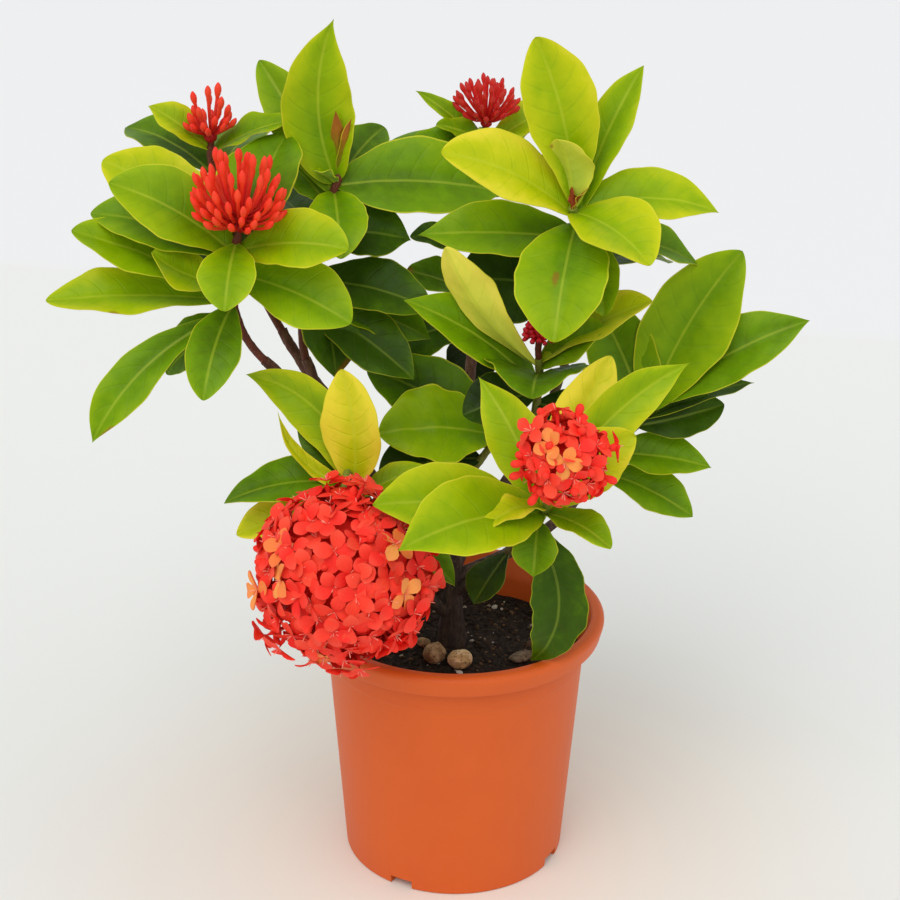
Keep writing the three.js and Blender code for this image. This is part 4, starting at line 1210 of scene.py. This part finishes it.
def petal_skin(faces, axes, spin, aged, settings, radius, draw):
    """Four petals to a floret. A petal widens from a narrow claw, is round at its end, arches
    along its length, is cupped across, and tilts and twists a little at random."""
    columns = 5
    count = len(faces)
    # The directions along each petal, to its side, and up from it.
    angle = spin[:, None] + np.arange(4) * math.pi / 2 + draw.normal(0, 0.12, (count, 4))
    out = fan(*across_frames(axes), angle)
    axis = np.broadcast_to(axes[:, None], out.shape)
    tilt = draw.uniform(-0.25, 0.5, (count, 4, 1))
    run = out * np.cos(tilt) + axis * np.sin(tilt)
    rise = axis * np.cos(tilt) - out * np.sin(tilt)
    level = np.cross(rise, run)
    twist = draw.normal(0, 0.22, (count, 4, 1))
    side = level * np.cos(twist) + rise * np.sin(twist)
    lift = rise * np.cos(twist) - level * np.sin(twist)
    run, side, lift = (a.reshape(-1, 1, 1, 3) for a in (run, side, lift))

    # Half widths and heights, from claw to end and once round.
    size = (radius * draw.uniform(0.92, 1.05, (count, 4))).reshape(-1, 1, 1)
    station = np.array(PETAL_STATIONS)[:, None]
    claw = np.sin(math.pi * station ** 1.3) ** 0.68
    half = settings.petal_width / 2 * size * claw
    above = np.linspace(1, -1, columns)
    s = np.concatenate([above, above[-2:0:-1]])
    upper = np.repeat([1.0, 0.0], [columns, columns - 2])
    arch = draw.uniform(-0.02, 0.16, (count, 4)).reshape(-1, 1, 1)
    cup = draw.uniform(-0.1, 0.25, (count, 4)).reshape(-1, 1, 1)
    height = size * arch * (4 * station * (1 - station) - 0.3 * station) + cup * half * s * s
    height = height - (1 - upper) * settings.petal_thickness
    base = np.repeat(faces, 4, axis=0)[:, None, None]
    rings = (
        base + run * (size * station)[..., None] + side * (half * s)[..., None]
        + lift * height[..., None]
    )
    ends = base + run * size[..., None] - lift * (0.3 * size * arch)[..., None]

    # What the petal's finish reads.
    petal = [np.broadcast_to(value, height.shape) for value in (station, s * 0.5, upper)]
    petal_seed = draw.uniform(0, 1, (count * 4, 1, 1))
    old = np.repeat(aged, 4)[:, None, None]
    bloom = np.broadcast_arrays(old, petal_seed, old * 0)
    return tube_skin(rings, base[:, 0, 0], ends[:, 0, 0], petal=np.stack(petal, -1),
                     bloom=np.stack(bloom, -1))


def spike_skin(roots, tips, radius, sides, petal, bloom, shape=((0.1, 0.6), (0.8, 1.0))):
    """Spikes pointed at both ends, with a shape of places along and shares of the radius."""
    outward = circle(*across_frames(unit(tips - roots)), sides)[:, None]
    share, girth = np.array(shape).T[..., None, None]
    middle = roots[:, None, None] * (1 - share) + tips[:, None, None] * share
    rings = middle + outward * girth * radius
    return tube_skin(rings, roots, tips, petal=np.array(petal), bloom=np.array(bloom))


# What the petal's finish reads under "petal" on pale stamens, and where it doesn't matter.
PALE = (0.5, 0, 2)
NONE = (0, 0, 0)
POKING_REACH = 8.0
# The outline of a closed bud on its tube: places along it and shares of its radius.
CLOSED_BUD = ((0.05, 0.3), (0.55, 0.34), (0.7, 0.74), (0.84, 1.0), (0.94, 0.82), (0.99, 0.36))
# The outline of a bud and its tube in a head of buds, in radii of the bud: how far back from
# the tip each place is, and its girth. The first two places are the tube's root and the
# middle between it and the third, so their distances aren't read.
BUD_BACK = np.array([0, 0, 5.2, 4.3, 3.4, 2.4, 1.5, 0.75, 0.25])
BUD_GIRTH = np.array([0.34, 0.4, 0.5, 0.54, 0.82, 1.0, 0.94, 0.66, 0.34])


def head_parts(head):
    """A head's centre and axis, and the stalk from its shoot's tip."""
    line = stem_line(SHOOTS[head["shoot"]])
    tip, centre = line[0], np.array(head["centre"], float)
    upward = unit(line[0] - line[1])
    stalk = spline([tip - upward, tip + upward * 1.6, centre], 16)
    return centre, unit(centre - tip), stalk


def core_skin(centre, radius, **values):
    """An uneven ball."""
    body = ball(20, 30, 0.96)
    body = body * (radius * (1 + 0.06 * ripples(body, 0.5, 8)))[..., None]
    return closed_rings(centre + body, **values)


def stalk_skin(line, stem):
    """A head's stalk, with what the stem's finish reads under "stem"."""
    stem = np.array(stem)
    return limb_skin(line, STALK_RADIUS, LIMB_SIDES, STEM_FINISH, 0.1, 4, stem=stem)


def pale_skins(faces, axes, spin, draw):
    """The stamens, one between each two petals of a floret, and the styles."""
    count = len(faces)
    angle = spin[:, None] + (np.arange(4) + 0.5) * math.pi / 2 + draw.normal(0, 0.2, (count, 4))
    lean = draw.uniform(0.25, 0.9, (count, 4, 1))
    run = unit(fan(*across_frames(axes), angle) + axes[:, None] * lean)
    run = run * draw.uniform(2.8, 4.0, (count, 4, 1))
    bases = faces - axes * 0.3
    stamens = np.repeat(bases, 4, axis=0)
    styles = faces + unit(axes + draw.normal(0, 0.2, (count, 3))) * 4.0
    return [
        spike_skin(stamens, stamens + run.reshape(-1, 3), 0.22, 3, PALE, NONE),
        spike_skin(bases, styles, 0.25, 4, PALE, NONE),
    ]


def closed_bud_skin(head, centre, axis, settings, draw):
    """The closed buds of an open head: those among its florets, then the poking ones."""
    aims = spread_directions(head["closed"], axis, head["spread"], draw)
    aims = unit(aims + draw.normal(0, 0.1, aims.shape))
    beyond = draw.uniform(2, 5.5, (len(aims), 1))
    poking = np.reshape(head["poking"], (-1, 3))
    aims = np.concatenate([aims, unit(poking)])
    beyond = np.concatenate([beyond, np.full((len(poking), 1), POKING_REACH)])
    ends = centre + aims * (head["radius"] + beyond)
    starts = centre + aims * 0.7 * head["core"]
    return spike_skin(starts, ends, settings.closed_bud / 2, 8, (0.6, 0.2, 0), (0, 0.4, 0.1),
                      CLOSED_BUD)


def open_head_skins(name, settings):
    """Florets on narrow tubes round a core, with closed buds among them, on a stalk."""
    head = OPEN_HEADS[name]
    draw = np.random.default_rng(head["seed"])
    centre, axis, stalk = head_parts(head)
    toward = spread_directions(head["florets"], axis, head["spread"], draw)
    count = len(toward)
    axes = unit(toward + draw.normal(0, 0.16, (count, 3)))
    out = head["radius"] * draw.uniform(0.91, 1.02, (count, 1))
    out = out * (1 + 0.03 * ripples(toward, 1.1, 3)[:, None])
    spin = draw.uniform(0, 2 * math.pi, count)
    orange = unit(np.array(head["orange"]))
    aged = np.zeros(count)
    aged[np.argmax(toward @ orange.T, axis=0)] = draw.uniform(0.6, 1, len(orange))
    out = out + np.where(aged > 0, settings.aged_rise, 0)[:, None]
    out[np.argmax(toward @ unit(np.array(head["loose"])).T, axis=0)] += settings.loose_rise
    faces = centre + toward * out
    roots = faces - axes * (out - 0.8 * head["core"])

    skins = [petal_skin(faces, axes, spin, aged, settings, head["floret"], draw)]
    tube = np.stack([aged * 0, aged * 0 + 0.3, aged * 0 + 0.1], -1)[:, None, None]
    skins.append(spike_skin(roots, faces - axes * 0.2, 1.1, 6, NONE, tube))
    skins += pale_skins(faces, axes, spin, draw)
    skins.append(closed_bud_skin(head, centre, axis, settings, draw))
    skins.append(core_skin(centre, head["core"] * 0.93, petal=np.zeros(3),
                           bloom=np.array([0, 0.5, 1])))
    skins.append(stalk_skin(stalk, (0.1, 0.1, 0)))
    return skins


def bud_head_skins(name):
    """Closed buds on thin tubes that leave a small knot and bend upward, on a stalk.

    A bud's line is the parabola from the knot to its tip whose first part leans away from
    the head's axis. The reach of a tip grows with the cosine of its angle to the axis."""
    head = BUD_HEADS[name]
    draw = np.random.default_rng(head["seed"])
    centre, _, stalk = head_parts(head)
    axis = unit(np.array(head["axis"], float))
    toward = spread_directions(head["buds"], axis, head["spread"], draw)
    count = len(toward)
    level = np.clip(toward @ axis, 0, 1)[:, None]
    reach = head["low"] + (head["high"] - head["low"]) * level ** head["peak"]
    reach = reach * draw.uniform(0.88, 1.03, (count, 1))
    root = 0.6 * head["core"]
    low = unit(toward - head["bend"] * axis)
    start, end = centre + toward * root, centre + toward * reach
    pull = centre + low * (root + reach * 0.45)

    radius = head["bud"] * draw.uniform(0.88, 1.08, (count, 1))
    share = 1 - BUD_BACK * radius / reach
    share[:, 0] = 0
    share[:, 1] = share[:, 2] * 0.5
    share = np.maximum.accumulate(np.clip(share, 0, 1), axis=1)[..., None]
    line = (
        (1 - share) ** 2 * start[:, None] + 2 * share * (1 - share) * pull[:, None]
        + share ** 2 * end[:, None]
    )
    run = unit((1 - share) * (pull - start)[:, None] + share * (end - pull)[:, None])
    level_side = np.broadcast_to(unit(np.cross(axis, toward))[:, None], run.shape)
    outward = circle(level_side, np.cross(run, level_side), 8)
    rings = line[:, :, None] + outward * (BUD_GIRTH * radius)[..., None, None]
    seed = draw.uniform(0, 1, (count, 1, 1, 1))
    parts = np.broadcast_arrays(share[:, :, None], head["dark"], seed)
    bud = np.concatenate(parts, axis=-1)
    knot = np.array([0.0, max(head["dark"], 0.3), 0.0])
    return [
        tube_skin(rings, start, end, bud=bud),
        core_skin(centre, head["core"] * 0.9, bud=knot),
        stalk_skin(stalk, (0.2, 0.9, 0)),
    ]


# ---------------------------------------------------------------- settings

def tint(name, description, red, green, blue):
    """A colour setting, given as 0 to 255."""
    return FloatVectorProperty(name=name, description=description, subtype="COLOR",
                               default=paint(red, green, blue), min=0, max=1)


def amount(name, description, default, least, most, subtype="NONE"):
    """A number setting and its limits."""
    return FloatProperty(name=name, description=description, subtype=subtype,
                         default=default, min=least, max=most)


class PotSettings(bpy.types.PropertyGroup):
    """What a user would change on the pot and the soil."""

    plastic: tint("Plastic", "Colour of the pot", 233, 103, 24)
    shade: tint("Plastic, deeper", "Darker parts of the pot's mottle", 222, 90, 18)
    grains: IntProperty(
        name="Grains", description="Loose grains that lie on the soil",
        default=1300, min=0, max=3000,
    )


class LeafSettings(bpy.types.PropertyGroup):
    """What a user would change on the leaves. Lengths are in millimetres."""

    blade: amount("Blade", "Thickness of a blade beside its midrib, in mm", 0.7, 0.3, 2)
    wave: amount("Wave", "Height of the waves along a blade's edges, in mm", 1.2, 0, 4)
    lumps: amount("Lumps", "Height of the soft lumps of a blade, in mm", 0.25, 0, 2)
    frill: amount("Frill", "How far a blade's outline waves, as a share of its width",
                  0.025, 0, 0.2, subtype="FACTOR")
    petiole: amount("Petiole", "Width of a blade where it leaves the stem, in mm", 2.6, 1, 5)
    side_veins: amount("Side veins", "Pairs of side veins on a blade", 8, 2, 20)
    underside: tint("Underside", "Pale colour of a blade's lower face", 162, 188, 80)
    underside_young: tint("Underside, young", "Pale colour of a yellow blade's lower face",
                          246, 244, 118)
    vein: tint("Veins", "Colour of the midrib and the side veins", 198, 210, 60)
    margin: tint("Margin", "Colour of the thin rim of a blade", 214, 210, 50)


class FlowerSettings(bpy.types.PropertyGroup):
    """What a user would change on the flowers."""

    petal: tint("Petal", "Colour of a fresh petal", 255, 82, 56)
    petal_deep: tint("Petal, deeper", "Colour of the deepest petals", 252, 46, 40)
    core: tint("Core", "Colour between the florets", 236, 40, 30)
    petal_width: amount("Petal width", "Width of a petal as a share of its length",
                        0.76, 0.2, 1.4, subtype="FACTOR")
    aged_rise: amount("Aged rise", "How far aged florets stand out of their head, in mm",
                      1.6, 0, 5)
    loose_rise: amount("Loose rise", "How far loose florets stand out of their head, in mm",
                       6.0, 0, 12)
    closed_bud: amount("Closed bud", "Thickness of a closed bud in an open head, in mm", 4.0, 1, 8)
    petal_thickness: amount("Petal thickness", "Thickness of a petal, in mm", 0.35, 0.1, 1)


class StageSettings(bpy.types.PropertyGroup):
    """The floor, the light and the camera."""

    floor: tint("Floor", "Colour of the floor", 238, 239, 235)
    # Colour of the painted shadow round the pot.
    painted_pot_shadow: tint("Floor, warm", "Colour of the floor round the pot", 236, 227, 210)
    wall: tint("Floor, far", "Colour of the floor far behind", 240, 240, 240)
    sky: amount("Sky", "Strength of the light from all round", 0.6, 0, 5)
    key: amount("Key light", "Strength of the soft light from the front", 1.35, 0, 10)
    fill: amount("Fill light", "Strength of the softer light from the right", 0.45, 0, 10)
    lens: amount("Lens", "Focal length of the camera, in mm", 72, 10, 300)


# ---------------------------------------------------------------- stage

# The camera looks at a point from some metres away, from above, and rolls a little.
AIM = np.array([-0.0037, 0, 0.218])
AWAY = 0.876
DOWN = math.radians(21.9)
ROLL = math.radians(0.5)
FLOOR_RINGS = (0.2, 0.6, 1.5, 6.0)
FLOOR_LEVEL = -0.0002


def make_floor(settings):
    """A round floor just under the pot, one face deep, in rings that grow outward."""
    sides, rings = 64, len(FLOOR_RINGS)
    around = circle(np.array([1.0, 0, 0]), np.array([0, 1.0, 0]), sides)
    corners = np.reshape(FLOOR_RINGS, (-1, 1, 1)) * around + (0, 0, FLOOR_LEVEL)
    corners = np.concatenate([corners.reshape(-1, 3), [[0, 0, FLOOR_LEVEL]]])
    quads, triangles = tube_faces(rings, sides)
    mesh = bpy.data.meshes.new("floor")
    faces = quads[:, ::-1].tolist() + triangles[:sides, ::-1].tolist()
    mesh.from_pydata(corners.tolist(), [], faces)
    mesh.materials.append(floor_finish(settings))
    add_object("floor", mesh)


def add_sun(name, toward, softness, strength):
    """A soft even light that comes from a direction and is some degrees wide."""
    light = bpy.data.lights.new(name, "SUN")
    light.angle = math.radians(softness)
    light.energy = strength
    add_object(name, light).rotation_euler = Vector(toward).to_track_quat("Z", "Y").to_euler()


def add_light(scene, settings):
    """A pale sky and two soft suns."""
    world = bpy.data.worlds.new("studio")
    scene.world = world
    world.use_nodes = True
    background = world.node_tree.nodes["Background"].inputs
    background["Color"].default_value = (0.97, 0.98, 1, 1)
    background["Strength"].default_value = settings.sky
    add_sun("key", (-0.35, -0.75, 1.0), 50, settings.key)
    add_sun("fill", (0.9, -0.5, 0.8), 70, settings.fill)


def add_camera(scene, settings):
    """The camera in front of the pot, looking down on it."""
    lens = bpy.data.cameras.new("camera")
    lens.lens = settings.lens
    lens.sensor_width = 36
    camera = add_object("camera", lens)
    place = AIM + AWAY * np.array([0, -math.cos(DOWN), math.sin(DOWN)])
    tilt = Matrix.Rotation(math.pi / 2 - DOWN, 4, "X") @ Matrix.Rotation(ROLL, 4, "Z")
    camera.matrix_world = Matrix.Translation(place) @ tilt
    scene.camera = camera
    scene.view_settings.view_transform = "Standard"


# ---------------------------------------------------------------- operators

class IXORA_OT_pot(bpy.types.Operator):
    """Makes the nursery pot"""

    bl_idname = "ixora.pot"
    bl_label = "Pot"

    def execute(self, context):
        make_pot(context.scene.ixora_pot)
        return {"FINISHED"}


class IXORA_OT_soil(bpy.types.Operator):
    """Makes the potting mix with its loose grains"""

    bl_idname = "ixora.soil"
    bl_label = "Soil"

    def execute(self, context):
        make_piece("soil", soil_skins(context.scene.ixora_pot), [soil_finish()], 50)
        return {"FINISHED"}


class IXORA_OT_stones(bpy.types.Operator):
    """Makes the pebbles and the chip of bark on the soil"""

    bl_idname = "ixora.stones"
    bl_label = "Stones"

    def execute(self, context):
        pale = stone_finish("clay_pebble", paint(206, 160, 104), paint(246, 212, 164))
        brown = stone_finish("brown_pebble", paint(136, 100, 64), paint(200, 160, 116))
        chip = stone_finish("bark_chip", paint(84, 66, 50), paint(138, 116, 92))
        finishes = {"pebble_tan": pale, "pebble_brown": brown, "pebble_small": brown,
                    "bark_chip": chip}
        for seed, (name, stone) in enumerate(STONES.items()):
            make_piece(name, [stone_skin(stone, 60 + seed)], [finishes[name]], 60)
        return {"FINISHED"}


class IXORA_OT_wood(bpy.types.Operator):
    """Makes the trunk and its branches"""

    bl_idname = "ixora.wood"
    bl_label = "Wood"

    def execute(self, context):
        make_piece("wood", wood_skins(), [bark_finish()], 60)
        return {"FINISHED"}


class IXORA_OT_shoots(bpy.types.Operator):
    """Makes the leafy shoots"""

    bl_idname = "ixora.shoots"
    bl_label = "Leafy shoots"

    def execute(self, context):
        settings = context.scene.ixora_leaves
        finishes = [leaf_finish(settings), stem_finish()]
        for name in SHOOTS:
            make_piece(name, shoot_skins(name, settings), finishes, 70)
        return {"FINISHED"}


class IXORA_OT_open_heads(bpy.types.Operator):
    """Makes the open flower heads"""

    bl_idname = "ixora.open_heads"
    bl_label = "Open flower heads"

    def execute(self, context):
        settings = context.scene.ixora_flowers
        finishes = [petal_finish(settings), stem_finish()]
        for name in OPEN_HEADS:
            make_piece(name, open_head_skins(name, settings), finishes, 80)
        return {"FINISHED"}


class IXORA_OT_bud_heads(bpy.types.Operator):
    """Makes the heads of closed buds"""

    bl_idname = "ixora.bud_heads"
    bl_label = "Bud heads"

    def execute(self, context):
        finishes = [bud_finish(), stem_finish()]
        for name, head in BUD_HEADS.items():
            make_piece(name, bud_head_skins(name), finishes, 70)
        return {"FINISHED"}


class IXORA_OT_stage(bpy.types.Operator):
    """Makes the floor, the light and the camera"""

    bl_idname = "ixora.stage"
    bl_label = "Stage"

    def execute(self, context):
        settings = context.scene.ixora_stage
        make_floor(settings)
        add_light(context.scene, settings)
        add_camera(context.scene, settings)
        return {"FINISHED"}


OPERATORS = (
    IXORA_OT_stage, IXORA_OT_pot, IXORA_OT_soil, IXORA_OT_stones, IXORA_OT_wood,
    IXORA_OT_shoots, IXORA_OT_open_heads, IXORA_OT_bud_heads,
)
SETTINGS = {
    "ixora_pot": PotSettings, "ixora_leaves": LeafSettings,
    "ixora_flowers": FlowerSettings, "ixora_stage": StageSettings,
}


class IXORA_PT_panel(bpy.types.Panel):
    """The ixora's pieces and their settings"""

    bl_label = "Potted ixora"
    bl_idname = "IXORA_PT_panel"
    bl_space_type = "VIEW_3D"
    bl_region_type = "UI"
    bl_category = "Ixora"

    def draw(self, context):
        for operator in OPERATORS:
            self.layout.operator(operator.bl_idname)
        for key, group in SETTINGS.items():
            box = self.layout.box()
            for name in group.__annotations__:
                box.prop(getattr(context.scene, key), name)


def register():
    for item in (*SETTINGS.values(), *OPERATORS, IXORA_PT_panel):
        bpy.utils.register_class(item)
    for key, group in SETTINGS.items():
        setattr(bpy.types.Scene, key, PointerProperty(type=group))


def unregister():
    for key in SETTINGS:
        delattr(bpy.types.Scene, key)
    for item in (IXORA_PT_panel, *OPERATORS[::-1], *SETTINGS.values()):
        bpy.utils.unregister_class(item)


def main():
    """Makes every piece in order."""
    register()
    for operator in OPERATORS:
        getattr(bpy.ops.ixora, operator.bl_idname.split(".")[1])()


if __name__ == "__main__":
    main()
